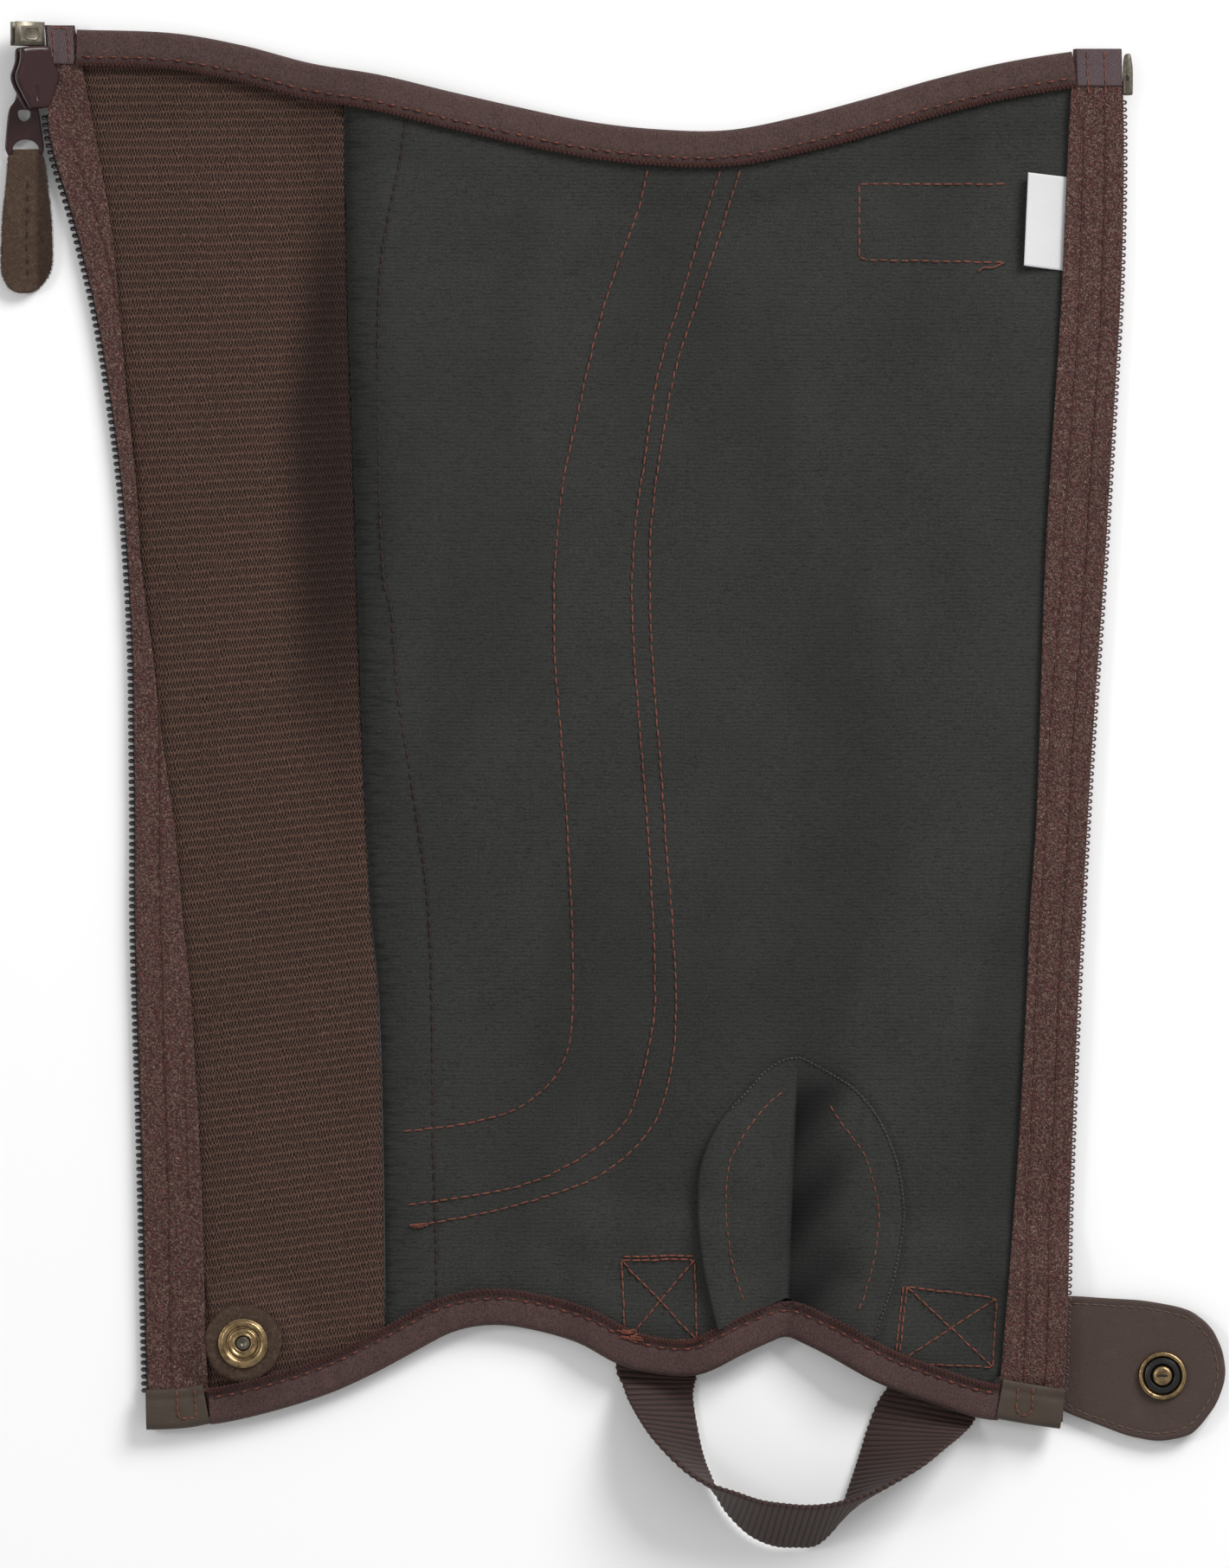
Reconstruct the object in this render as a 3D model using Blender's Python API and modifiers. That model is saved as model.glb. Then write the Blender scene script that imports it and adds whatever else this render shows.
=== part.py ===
"""One half chap, opened out flat with its lined inside face up.

X runs across the garment, Y up the leg and Z away from the surface it lies on. Tables are in
millimetres, measured on the flat garment; everything that is placed in the scene is in metres.
"""

import math

import bmesh
import bpy
from mathutils import Matrix, Vector
from mathutils.bvhtree import BVHTree

MM = 0.001

# Thicknesses and gaps, in millimetres.
MAIN_THICK = 2.0
ELASTIC_THICK = 1.5
TAPE_THICK = 1.0
PATCH_THICK = 1.2
LABEL_THICK = 1.0
STRAP_THICK = 1.5
TAB_THICK = 2.0
GAP = 0.3
TAPE_GAP = 0.5
BINDING_LEG = 8.4
BINDING_WALL = 1.0
BINDING_INNER = 3.0
CAP_LEG = 7.7
CAP_INNER = 1.6
COIL_WIDTH = 3.2
COIL_HEIGHT = 1.5

# Zip slider and pull, in millimetres and degrees.
SLIDER_CENTRE = (-133.7, 164.3, 6.4)
SLIDER_ROLL = 28.0
SLIDER_TURN = 4.0
PULL_PIVOT = (-135.9, 163.4, 2.3)
PULL_DROOP = 2.5

# Snap on the elastic panel and socket on the tab, in millimetres and degrees.
SNAP_PLACE = (-85.5, -129.1)
SOCKET_PLACE = (127.0, -136.7)
TAB_RISE = 2.0

# The finished garment is moved by this much, in millimetres, to stand centred on its origin.
CENTRE_SHIFT = (-0.17, 0.31, 0.0)

# Lengthways lines of the garment: y, then x of the left tape's outer and inner edge, of the
# seam, and of the right tape's inner and outer edge.
LENGTHWAYS = (
    (176, -131.4, -124.6, -62.1, 106.4, 117.5),
    (170, -131.0, -123.5, -62.1, 106.3, 117.5),
    (150, -130.1, -119.9, -62.1, 105.3, 118.1),
    (130, -124.5, -116.3, -61.8, 104.4, 117.9),
    (110, -119.6, -114.3, -61.4, 103.5, 117.2),
    (90, -116.2, -112.5, -60.7, 102.2, 116.0),
    (70, -113.6, -110.4, -60.0, 100.9, 114.8),
    (50, -112.0, -109.1, -59.4, 99.8, 113.6),
    (30, -111.0, -106.5, -58.8, 99.1, 112.2),
    (10, -110.7, -104.3, -58.1, 98.5, 110.8),
    (-10, -110.5, -101.5, -57.1, 97.7, 109.6),
    (-30, -110.5, -99.7, -56.1, 96.3, 108.5),
    (-50, -110.0, -97.7, -54.3, 95.5, 107.5),
    (-90, -108.8, -95.4, -53.2, 93.3, 105.9),
    (-130, -107.9, -94.1, -52.7, 90.1, 104.7),
    (-150, -107.3, -92.9, -52.6, 88.3, 103.7),
)

# Outer edge of the top binding: x, y.
TOP_EDGE = (
    (-131.0, 174.6),
    (-122.7, 174.5),
    (-101.7, 173.7),
    (-85.7, 170.9),
    (-69.7, 166.7),
    (-53.7, 163.9),
    (-37.7, 160.1),
    (-21.7, 156.5),
    (-5.7, 153.3),
    (10.3, 151.5),
    (26.3, 151.3),
    (42.3, 154.3),
    (58.3, 158.5),
    (74.3, 163.1),
    (90.3, 166.9),
    (106.3, 169.5),
    (118.0, 170.7),
)

# Outer edge of the hem binding on each side of the notch: x, y.
HEM_LEFT = (
    (-110.0, -148.6),
    (-95.1, -148.3),
    (-82.3, -145.9),
    (-66.3, -141.1),
    (-55.5, -136.3),
    (-46.5, -131.5),
    (-37.3, -126.7),
    (-29.7, -125.1),
    (-21.7, -125.5),
    (-8.1, -129.1),
    (0.9, -133.9),
    (10.3, -136.3),
    (20.1, -136.3),
    (30.3, -131.5),
    (39.9, -127.3),
)
HEM_RIGHT = (
    (39.9, -127.3),
    (48.7, -131.5),
    (62.1, -138.7),
    (82.3, -145.9),
    (87.7, -146.9),
    (110.0, -149.0),
)

# The crease down the middle of the gusset: y, x.
CREASE = (
    (176, 42.5),
    (-64, 42.5),
    (-80, 41.6),
    (-100, 40.5),
    (-128, 39.9),
)

# Gusset patch: y, then x of its left edge, crease and right edge.
GUSSET = (
    (-63.1, 40.2, 42.5, 43.6),
    (-66.0, 35.4, 42.4, 49.2),
    (-70.0, 31.5, 42.2, 55.5),
    (-76.0, 26.2, 41.8, 60.8),
    (-83.0, 22.0, 41.4, 64.4),
    (-90.0, 19.9, 41.0, 66.5),
    (-100.0, 19.6, 40.5, 67.5),
    (-110.0, 20.6, 40.4, 66.0),
    (-116.0, 21.7, 40.3, 64.6),
    (-121.0, 22.9, 40.2, 63.0),
)

# Foot strap: x, y, z of the thick selvedge, then x, y of the thin one.
STRAP = (
    (1.5, -110.3, 0.75, 18.9, -109.9),
    (0.7, -122.7, 0.75, 19.1, -121.7),
    (0.6, -134.8, 0.75, 19.3, -136.1),
    (2.1, -138.7, 3.6, 18.8, -138.9),
    (3.7, -142.5, 8.0, 18.5, -142.7),
    (7.7, -148.7, 14.0, 19.9, -151.7),
    (12.3, -153.9, 16.5, 21.1, -156.7),
    (17.5, -158.5, 18.0, 22.3, -159.9),
    (22.7, -161.3, 18.5, 23.9, -163.9),
    (28.3, -163.1, 18.0, 26.7, -168.7),
    (33.9, -164.9, 17.5, 31.5, -173.5),
    (39.3, -165.7, 17.0, 36.9, -176.0),
    (44.7, -166.1, 17.0, 41.9, -176.4),
    (49.9, -165.7, 17.0, 46.7, -176.0),
    (55.1, -164.5, 17.5, 50.3, -172.7),
    (60.3, -162.7, 18.0, 52.7, -168.3),
    (65.9, -159.9, 18.0, 54.3, -163.7),
    (71.5, -156.7, 16.5, 55.7, -159.3),
    (76.7, -152.9, 12.0, 57.1, -154.7),
    (80.9, -150.0, 5.5, 58.9, -148.7),
    (83.8, -146.8, 0.75, 61.3, -142.7),
    (86.3, -138.7, 0.75, 65.0, -136.5),
    (88.3, -130.7, 0.75, 66.3, -126.7),
    (88.7, -117.7, 0.75, 67.5, -115.1),
)

# Snap tab outline: x, y.
TAB = (
    (95.0, -118.4),
    (105.7, -118.3),
    (114.3, -118.9),
    (122.3, -119.3),
    (130.3, -120.7),
    (133.9, -121.9),
    (137.1, -124.3),
    (139.1, -126.7),
    (141.0, -131.0),
    (141.7, -135.5),
    (141.3, -138.7),
    (139.5, -143.5),
    (135.9, -148.3),
    (133.3, -150.7),
    (126.3, -152.1),
    (118.9, -150.7),
    (112.7, -148.3),
    (107.0, -146.2),
    (104.6, -144.2),
    (104.4, -140.9),
    (100.5, -138.6),
    (95.0, -136.6),
)

# Slider plate: distance along it from its centre, then half its width.
SLIDER_PLATE = (
    (6.2, 3.5),
    (5.2, 3.8),
    (3.2, 3.95),
    (1.6, 4.6),
    (0.2, 5.3),
    (-1.2, 5.5),
    (-3.0, 4.9),
    (-4.8, 4.0),
    (-6.6, 3.2),
    (-7.8, 2.6),
    (-8.2, 2.2),
)

# Pull link outline and its lower hole: x, y from the pivot.
PULL_LINK = (
    (-1.9, 0.6),
    (-2.2, -5.0),
    (-4.0, -7.2),
    (-4.6, -13.4),
    (-4.8, -16.3),
    (-4.0, -18.2),
    (-2.6, -18.7),
    (2.4, -18.7),
    (3.7, -18.2),
    (4.3, -16.3),
    (3.8, -13.4),
    (3.0, -7.2),
    (2.1, -5.0),
    (1.9, 0.6),
)
LINK_EYE = ((-1.0, -0.6), (1.0, -0.6), (1.0, -6.3), (-1.0, -6.3))
LINK_MIDDLE_HOLE = (
    (-1.8, -7.3),
    (1.0, -7.3),
    (1.0, -8.9),
    (0.4, -9.8),
    (-0.4, -10.1),
    (-1.2, -9.8),
    (-1.8, -8.9),
)
LINK_LOWER_HOLE = (
    (-3.2, -17.3),
    (3.2, -17.3),
    (2.9, -15.6),
    (1.7, -14.5),
    (0.0, -14.1),
    (-1.7, -14.5),
    (-2.9, -15.6),
)

# Suede puller: y, then x of its left and right edge.
PULLER = (
    (144.0, -139.4, -131.9),
    (141.3, -140.1, -131.3),
    (131.3, -141.2, -130.5),
    (121.3, -141.6, -130.0),
    (116.8, -141.4, -130.2),
    (114.6, -140.2, -131.4),
    (113.7, -138.2, -133.4),
)


def clear_scene():
    for obj in list(bpy.data.objects):
        bpy.data.objects.remove(obj, do_unlink=True)


def new_collection(name, helper=False):
    made = bpy.data.collections.new(name)
    made.hide_render = helper
    bpy.context.scene.collection.children.link(made)
    return made


def smooth(t):
    t = min(1.0, max(0.0, t))
    return t * t * (3.0 - 2.0 * t)


def lerp(a, b, t):
    return a + (b - a) * t


def bump(distance, reach):
    """1 at no distance, falling softly to 0 at the reach."""
    if abs(distance) >= reach:
        return 0.0
    return 0.5 + 0.5 * math.cos(math.pi * distance / reach)


def follow(rows, at, column=1):
    """A smooth curve through a table's rows, read in its given column."""
    points = sorted((row[0], row[column]) for row in rows)
    if at <= points[0][0]:
        return points[0][1]
    if at >= points[-1][0]:
        return points[-1][1]
    last = len(points) - 1
    i = max(k for k in range(last) if points[k][0] <= at)

    def slope(k):
        low = points[max(k - 1, 0)]
        high = points[min(k + 1, last)]
        return (high[1] - low[1]) / (high[0] - low[0])

    (x0, y0), (x1, y1) = points[i], points[i + 1]
    span = x1 - x0
    t = (at - x0) / span
    held = (2 * t**3 - 3 * t**2 + 1) * y0 + (3 * t**2 - 2 * t**3) * y1
    return held + span * ((t**3 - 2 * t**2 + t) * slope(i) + (t**3 - t**2) * slope(i + 1))


def top_edge(x):
    return follow(TOP_EDGE, x)


def hem_edge(x):
    return follow(HEM_LEFT, x) if x <= 39.9 else follow(HEM_RIGHT, x)


def seam_x(y):
    return follow(LENGTHWAYS, y, 3)


def crease_x(y):
    return follow(CREASE, y)


def main_right_x(y):
    return follow(LENGTHWAYS, y, 5) - 5.0


def elastic_left_x(y):
    outer = follow(LENGTHWAYS, y, 1)
    covered = follow(LENGTHWAYS, y, 2) - outer - 1.0
    return max(outer + min(5.0, max(1.9, covered)), -125.6)


def lift(x, y):
    """Height of the panels' underside: what lies below them, and the soft ridges of the cloth."""
    seam = seam_x(y)
    top_zone = 1.0 - smooth((top_edge(x) - y - 10.0) / 11.0)
    hem_zone = 1.0 - smooth((y - hem_edge(x) - 10.5) / 11.0)
    hem_zone *= smooth((x + 98.0) / 5.0) * (1.0 - smooth((x - 88.0) / 6.0))
    bound = 1.4 * max(top_zone, hem_zone)
    near_snap = math.hypot(x - SNAP_PLACE[0], y - SNAP_PLACE[1])
    snap = 1.0 - smooth((near_snap - 8.0) / 8.0)
    bound = lerp(bound, 3.2, snap)

    strap_left = smooth((x + 13.0) / 9.0) * (1.0 - smooth((x - 25.5) / 10.0))
    strap_left *= 1.0 - smooth((y + 105.0) / 10.0)
    strap_right = smooth((x - 49.0) / 9.5) * (1.0 - smooth((y + 109.0) / 10.0))
    strap_right *= 1.0 - smooth((x - 98.0) / 10.0)
    tab = smooth((x - 82.0) / 9.0) * (1.0 - smooth((y + 114.0) / 12.0))
    held = max(bound + 1.8 * max(strap_left, strap_right), 2.9 * tab)

    crest = seam + 9.0
    along = lerp(0.45, 1.0, smooth((164.0 - y) / 34.0)) * smooth((y + 64.0) / 110.0)
    ridge = 6.5 * along * bump(x - crest, 23.0 if x < crest else 55.0)
    swell = 2.2 * bump(x - 76.0, 44.0) * smooth((y + 92.0) / 40.0) * smooth((140.0 - y) / 30.0)

    off = abs(x - crease_x(y))
    if off < 12.0:
        fold = math.sin(0.5 * math.pi * off / 12.0)
    else:
        fold = bump(off - 12.0, 20.0)
    pleat = 2.9 * fold * smooth((-52.0 - y) / 42.0)
    return held + ridge + swell + pleat


def slider_plane(x):
    """Height of the zip's middle plane through the rolled slider."""
    fall = math.tan(math.radians(SLIDER_ROLL))
    return SLIDER_CENTRE[2] - (x - SLIDER_CENTRE[0]) * fall


def linear(colour):
    """Scene-linear channels of an 8-bit display colour."""
    out = []
    for channel in colour:
        c = channel / 255.0
        out.append(c / 12.92 if c <= 0.04045 else ((c + 0.055) / 1.055) ** 2.4)
    return (*out, 1.0)


def material(name, colour, roughness, metallic=0.0):
    made = bpy.data.materials.new(name)
    made.use_nodes = True
    shader = made.node_tree.nodes["Principled BSDF"]
    shader.inputs["Base Color"].default_value = linear(colour)
    shader.inputs["Roughness"].default_value = roughness
    shader.inputs["Metallic"].default_value = metallic
    made.diffuse_color = linear(colour)
    return made


def add_object(name, bm, look, collection):
    bmesh.ops.recalc_face_normals(bm, faces=bm.faces[:])
    mesh = bpy.data.meshes.new(name)
    bm.to_mesh(mesh)
    bm.free()
    if look:
        mesh.materials.append(look)
    obj = bpy.data.objects.new(name, mesh)
    collection.objects.link(obj)
    return obj


def cloth(name, columns, rows, place, thick, look, collection):
    """A sheet on a grid of columns and rows; place gives its underside, and it is made this thick."""
    bm = bmesh.new()
    across = len(columns) - 1
    down = len(rows) - 1
    bmesh.ops.create_grid(bm, x_segments=across, y_segments=down, size=0.5)
    for vert in bm.verts:
        column = columns[round((vert.co.x + 0.5) * across)]
        row = rows[round((vert.co.y + 0.5) * down)]
        vert.co = Vector(place(column, row)) * MM
    for face in bm.faces:
        face.normal_update()
    under = bm.copy()
    if under.faces[:][0].normal.z < 0:
        bmesh.ops.reverse_faces(under, faces=under.faces[:])
    made = bmesh.ops.extrude_face_region(bm, geom=bm.faces[:], use_keep_orig=True)
    raised = [part for part in made["geom"] if isinstance(part, bmesh.types.BMVert)]
    bmesh.ops.translate(bm, verts=raised, vec=(0.0, 0.0, thick * MM))
    return add_object(name, bm, look, collection), under


def loft(name, rings, look, collection, caps="fan"):
    """One closed body through rings of points, each in order round its section."""
    bm = bmesh.new()
    count = len(rings[0])
    made = [[bm.verts.new(Vector(point) * MM) for point in ring] for ring in rings]
    for low, high in zip(made, made[1:]):
        for i in range(count):
            j = (i + 1) % count
            bm.faces.new((low[i], low[j], high[j], high[i]))
    for ring in (made[0], made[-1]):
        if caps == "fan":
            bm.faces.new(ring)
        else:
            for i in range(count // 2 - 1):
                bm.faces.new((ring[i], ring[i + 1], ring[count - 2 - i], ring[count - 1 - i]))
    return add_object(name, bm, look, collection)


def slab(name, outlines, depth, look, collection, bevel=0.0):
    """A flat plate cut from closed outlines in millimetres, centred on its own plane."""
    curve = bpy.data.curves.new(name, "CURVE")
    curve.dimensions = "2D"
    curve.fill_mode = "BOTH"
    curve.extrude = (0.5 * depth - bevel) * MM
    curve.bevel_depth = bevel * MM
    curve.bevel_resolution = 0
    curve.resolution_u = 1
    for outline in outlines:
        spline = curve.splines.new("POLY")
        spline.points.add(len(outline) - 1)
        for point, (x, y) in zip(spline.points, outline):
            point.co = (x * MM, y * MM, 0.0, 1.0)
        spline.use_cyclic_u = True
    curve.materials.append(look)
    obj = bpy.data.objects.new(name, curve)
    collection.objects.link(obj)
    return obj


def turned(name, profile, closed, steps, look, collection):
    """A round part: its profile is radius and height in millimetres, down its outer side."""
    mesh = bpy.data.meshes.new(name)
    points = [(radius * MM, 0.0, height * MM) for radius, height in profile]
    edges = [(i, i + 1) for i in range(len(points) - 1)]
    if closed:
        edges.append((len(points) - 1, 0))
    mesh.from_pydata(points, edges, [])
    mesh.materials.append(look)
    obj = bpy.data.objects.new(name, mesh)
    collection.objects.link(obj)
    screw = obj.modifiers.new("Turn", "SCREW")
    screw.axis = "Z"
    screw.steps = steps
    screw.render_steps = steps
    screw.use_merge_vertices = True
    screw.merge_threshold = 0.00001
    return obj


def block(name, low, high, look, collection):
    bm = bmesh.new()
    bmesh.ops.create_cube(bm, size=1.0)
    for vert in bm.verts:
        vert.co = Vector(
            lerp(low[k], high[k], vert.co[k] + 0.5) * MM for k in range(3)
        )
    return add_object(name, bm, look, collection)


def boolean(obj, other, operation):
    step = obj.modifiers.new(other.name, "BOOLEAN")
    step.operation = operation
    step.solver = "EXACT"
    step.object = other


clear_scene()
parts = new_collection("half_chap")
cutters = new_collection("cutters", helper=True)

lining = material("lining", (60, 58, 57), 0.9)
elastic = material("elastic", (68, 50, 46), 0.85)
tape_cloth = material("tape_cloth", (87, 64, 62), 0.85)
satin = material("satin", (71, 55, 53), 0.55)
webbing = material("webbing", (56, 44, 40), 0.75)
leather = material("leather", (72, 59, 53), 0.6)
suede = material("suede", (72, 54, 48), 0.95)
coil_plastic = material("coil_plastic", (40, 30, 28), 0.4)
painted = material("painted_metal", (67, 52, 53), 0.3, 0.3)
nickel = material("antique_nickel", (113, 108, 99), 0.35, 1.0)
brass = material("brass", (118, 92, 65), 0.35, 1.0)
black_plastic = material("black_plastic", (30, 28, 28), 0.4)
label_cloth = material("label_cloth", (236, 237, 237), 0.8)


# Main panel. Its columns run from the seam to the crease, and on to the right tape.
LEFT_OF_CREASE = (0.0, 0.045, 0.09, 0.145, 0.22, 0.33, 0.45, 0.56, 0.66, 0.74, 0.80, 0.85, 0.89, 0.925, 0.965)
RIGHT_OF_CREASE = (0.0, 0.06, 0.12, 0.18, 0.25, 0.335, 0.45, 0.60, 0.78, 1.0)
MAIN_COLUMNS = tuple(-1.0 + share for share in LEFT_OF_CREASE) + RIGHT_OF_CREASE
MAIN_ROWS = tuple(
    [0.0, 0.012, 0.026, 0.04]
    + [0.04 + 0.0155 * k for k in range(1, 15)]
    + [0.257 + 0.0625 * k for k in range(1, 11)]
    + [0.912, 0.935, 0.957, 0.978, 1.0]
)


def main_bottom(x):
    plain = hem_edge(x) + 1.75
    corner = lerp(-143.0, -134.8, smooth((x - 80.5) / 12.5))
    return max(plain, corner) if x > 80.0 else plain


def main_top(x):
    return top_edge(x) - 1.6


def settle(x_of, y_of):
    """The point that lies on both of two crossing lines."""
    x, y = 0.0, 0.0
    for _ in range(6):
        y = y_of(x)
        x = x_of(y)
    return x, y


def main_place(column, row):
    def x_of(y):
        if column < 0.0:
            return lerp(seam_x(y) + 0.5 * GAP, crease_x(y), column + 1.0)
        return lerp(crease_x(y), main_right_x(y), column)

    x, y = settle(x_of, lambda x: lerp(main_bottom(x), main_top(x), row))
    return x, y, lift(x, y)


main_panel, main_under = cloth(
    "main_panel", MAIN_COLUMNS, MAIN_ROWS, main_place, MAIN_THICK, lining, parts
)

# Elastic panel, between the left tape and the seam.
ELASTIC_COLUMNS = (0.0, 0.14, 0.29, 0.43, 0.57, 0.69, 0.80, 0.90, 1.0)
ELASTIC_ROWS = tuple(
    [0.0, 0.02, 0.04, 0.06, 0.08, 0.10, 0.125, 0.15]
    + [0.15 + 0.048 * k for k in range(1, 16)]
    + [0.895, 0.92, 0.94, 0.96, 0.98, 1.0]
)


def elastic_bottom(x):
    plain = hem_edge(x) + 1.6
    corner = lerp(-135.2, -143.6, smooth((x + 95.6) / 12.0))
    return max(plain, corner) if x < -83.6 else plain


def elastic_place(column, row):
    x, y = settle(
        lambda y: lerp(elastic_left_x(y), seam_x(y) - 0.5 * GAP, column),
        lambda x: lerp(elastic_bottom(x), main_top(x), row),
    )
    return x, y, lift(x, y)


elastic_panel, elastic_under = cloth(
    "elastic_panel", ELASTIC_COLUMNS, ELASTIC_ROWS, elastic_place, ELASTIC_THICK, elastic, parts
)

main_tree = BVHTree.FromBMesh(main_under)
elastic_tree = BVHTree.FromBMesh(elastic_under)
main_under.free()
elastic_under.free()


def ground(x, y):
    """Height of the panels' underside as built, or of the form it follows beside them."""
    start = Vector((x, y, 100.0)) * MM
    for tree in (main_tree, elastic_tree):
        hit = tree.ray_cast(start, Vector((0.0, 0.0, -1.0)))
        if hit[0] is not None:
            return hit[0].z / MM
    return lift(x, y)


# Bindings: one folded tape over the top edge and one over the hem, each a U in section.
def folded(path, leg, inner, height):
    """Rings of a U-shaped fold along a path whose open side is on the left of its direction."""
    wall = BINDING_WALL
    section = (
        (leg, 0.0),
        (0.55 * leg, 0.0),
        (0.8, 0.0),
        (0.0, 0.9),
        (0.0, inner + 2 * wall - 0.9),
        (0.8, inner + 2 * wall),
        (0.55 * leg, inner + 2 * wall),
        (leg, inner + 2 * wall),
        (leg, inner + wall),
        (0.55 * leg, inner + wall),
        (1.3, inner + wall),
        (1.0, inner + wall - 0.3),
        (1.0, wall + 0.3),
        (1.3, wall),
        (0.55 * leg, wall),
        (leg, wall),
    )
    rings = []
    for i, (x, y) in enumerate(path):
        before = Vector(path[max(i - 1, 0)])
        after = Vector(path[min(i + 1, len(path) - 1)])
        run = (after - before).normalized()
        inward = Vector((-run.y, run.x))
        ring = []
        for depth, z in section:
            px = x + inward.x * depth
            py = y + inward.y * depth
            ring.append((px, py, height(px, py) + z))
        rings.append(ring)
    return rings


def stations(low, high, step):
    count = max(1, round((high - low) / step))
    return [round(lerp(low, high, k / count), 3) for k in range(count + 1)]


def binding_floor(x, y):
    return max(0.0, ground(x, y) - 0.4 - BINDING_WALL)


top_stops = stations(-122.2, -30.0, 5.2) + stations(-22.0, 104.2, 8.4)
top_path = [(x, top_edge(x)) for x in reversed(top_stops)]
top_binding = loft(
    "top_binding",
    folded(top_path, BINDING_LEG, BINDING_INNER, binding_floor),
    satin,
    parts,
    caps="strip",
)

hem_stops = stations(-91.0, -20.0, 7.2) + stations(-13.5, 39.9, 4.1)
hem_stops += [44.0, 48.0, 52.0, 56.0, 60.0, 65.0, 70.0, 75.5, 81.0, 87.2]
hem_path = [(x, hem_edge(x)) for x in hem_stops]
hem_binding = loft(
    "hem_binding",
    folded(hem_path, BINDING_LEG, BINDING_INNER, binding_floor),
    satin,
    parts,
    caps="strip",
)


# Caps folded over the lower ends of the tapes.
LEFT_CAP = ((-107.9, -149.2), (-103.0, -149.1), (-97.9, -148.7), (-93.2, -147.8))
RIGHT_CAP = ((88.4, -146.5), (93.3, -147.4), (98.2, -148.2), (103.2, -148.9))
LEFT_CAP_BASE = 1.6
RIGHT_CAP_BASE = 3.6


def cap(name, path, base):
    rings = folded(path, CAP_LEG, CAP_INNER, lambda x, y: base)
    return loft(name, rings, satin, parts, caps="strip")


cap_left = cap("cap_left", LEFT_CAP, LEFT_CAP_BASE)
cap_right = cap("cap_right", RIGHT_CAP, RIGHT_CAP_BASE)


# Zip tapes. They lie on the panels' edges and run down into the caps.
TAPE_COLUMNS = (0.0, 0.18, 0.36, 0.6, 0.8, 1.0)
LEFT_TAPE_ROWS = tuple(
    [0.0, 0.0125, 0.019, 0.025, 0.031]
    + [0.025 + 0.0125 * k for k in range(1, 11)]
    + [0.15 + 0.05 * k for k in range(1, 13)]
    + [0.75 + 0.028 * k for k in range(1, 9)]
    + [1.0]
)
RIGHT_TAPE_ROWS = tuple(
    [0.0, 0.0125, 0.019, 0.025, 0.031]
    + [0.025 + 0.0125 * k for k in range(1, 13)]
    + [0.175 + 0.05 * k for k in range(1, 16)]
    + [0.945, 0.97, 1.0]
)


def left_tape_height(x, y):
    on_panel = ground(x, y) + ELASTIC_THICK + TAPE_GAP
    raised = slider_plane(x) - 0.5 * TAPE_THICK
    in_slider = smooth((y - 122.0) / 32.0)
    return on_panel + in_slider * max(0.0, raised - on_panel)


def left_tape_place(column, row):
    x, y = settle(
        lambda y: lerp(follow(LENGTHWAYS, y, 1), follow(LENGTHWAYS, y, 2), column),
        lambda x: lerp(follow(LEFT_CAP, x) + 1.6, 175.5, row),
    )
    in_cap = smooth((-136.4 - y) / 3.2)
    z = lerp(left_tape_height(x, y), LEFT_CAP_BASE + BINDING_WALL + GAP, in_cap)
    return x, y, z


def right_tape_height(x, y):
    return ground(x, y) + MAIN_THICK + TAPE_GAP


def right_tape_place(column, row):
    x, y = settle(
        lambda y: lerp(follow(LENGTHWAYS, y, 5), follow(LENGTHWAYS, y, 4), column),
        lambda x: lerp(follow(RIGHT_CAP, x) + 1.6, 170.0, row),
    )
    in_cap = smooth((-137.0 - y) / 1.8)
    z = lerp(right_tape_height(x, y), RIGHT_CAP_BASE + BINDING_WALL + GAP, in_cap)
    return x, y, z


tape_left, left_under = cloth(
    "zip_tape_left", TAPE_COLUMNS, LEFT_TAPE_ROWS, left_tape_place, TAPE_THICK, tape_cloth, parts
)
tape_right, right_under = cloth(
    "zip_tape_right",
    TAPE_COLUMNS,
    RIGHT_TAPE_ROWS,
    right_tape_place,
    TAPE_THICK,
    tape_cloth,
    parts,
)
left_tree = BVHTree.FromBMesh(left_under)
right_tree = BVHTree.FromBMesh(right_under)
left_under.free()
right_under.free()


# Zip coils, sewn below the tapes' outer edges and standing out beyond them.
def tape_underside(tree, x, y, inward):
    for step in (0.0, 0.1, 0.3, 0.6, 1.0):
        start = Vector((x + inward * step, y, -100.0)) * MM
        hit = tree.ray_cast(start, Vector((0.0, 0.0, 1.0)))
        if hit[0] is not None:
            return hit[0].z / MM
    return 2.0


def coil(name, tree, column, outward, proud, low, high, step):
    rings = []
    for y in sorted(set(stations(low, -85.0, 4.6) + stations(-85.0, high, step))):
        edge = follow(LENGTHWAYS, y, column)
        middle = edge + outward * (proud - 0.5 * COIL_WIDTH)
        roof = min(
            tape_underside(tree, edge - outward * inward, y + ahead, -outward)
            for inward in (0.0, 1.4)
            for ahead in (-1.8, 0.0, 1.8)
        )
        ring = []
        for k in range(8):
            turn = math.radians(45.0 * k + 22.5)
            x = middle + 0.5 * COIL_WIDTH * math.cos(turn) / 0.924
            z = roof - GAP - 0.5 * COIL_HEIGHT + 0.5 * COIL_HEIGHT * math.sin(turn) / 0.924
            ring.append((x, y, max(0.0, z)))
        rings.append(ring)
    return loft(name, rings, coil_plastic, parts)


coil_left = coil("coil_left", left_tree, 1, -1.0, 1.6, -140.6, 155.6, 8.5)
coil_right = coil("coil_right", right_tree, 5, 1.0, 1.1, -140.3, 158.4, 8.5)


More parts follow.
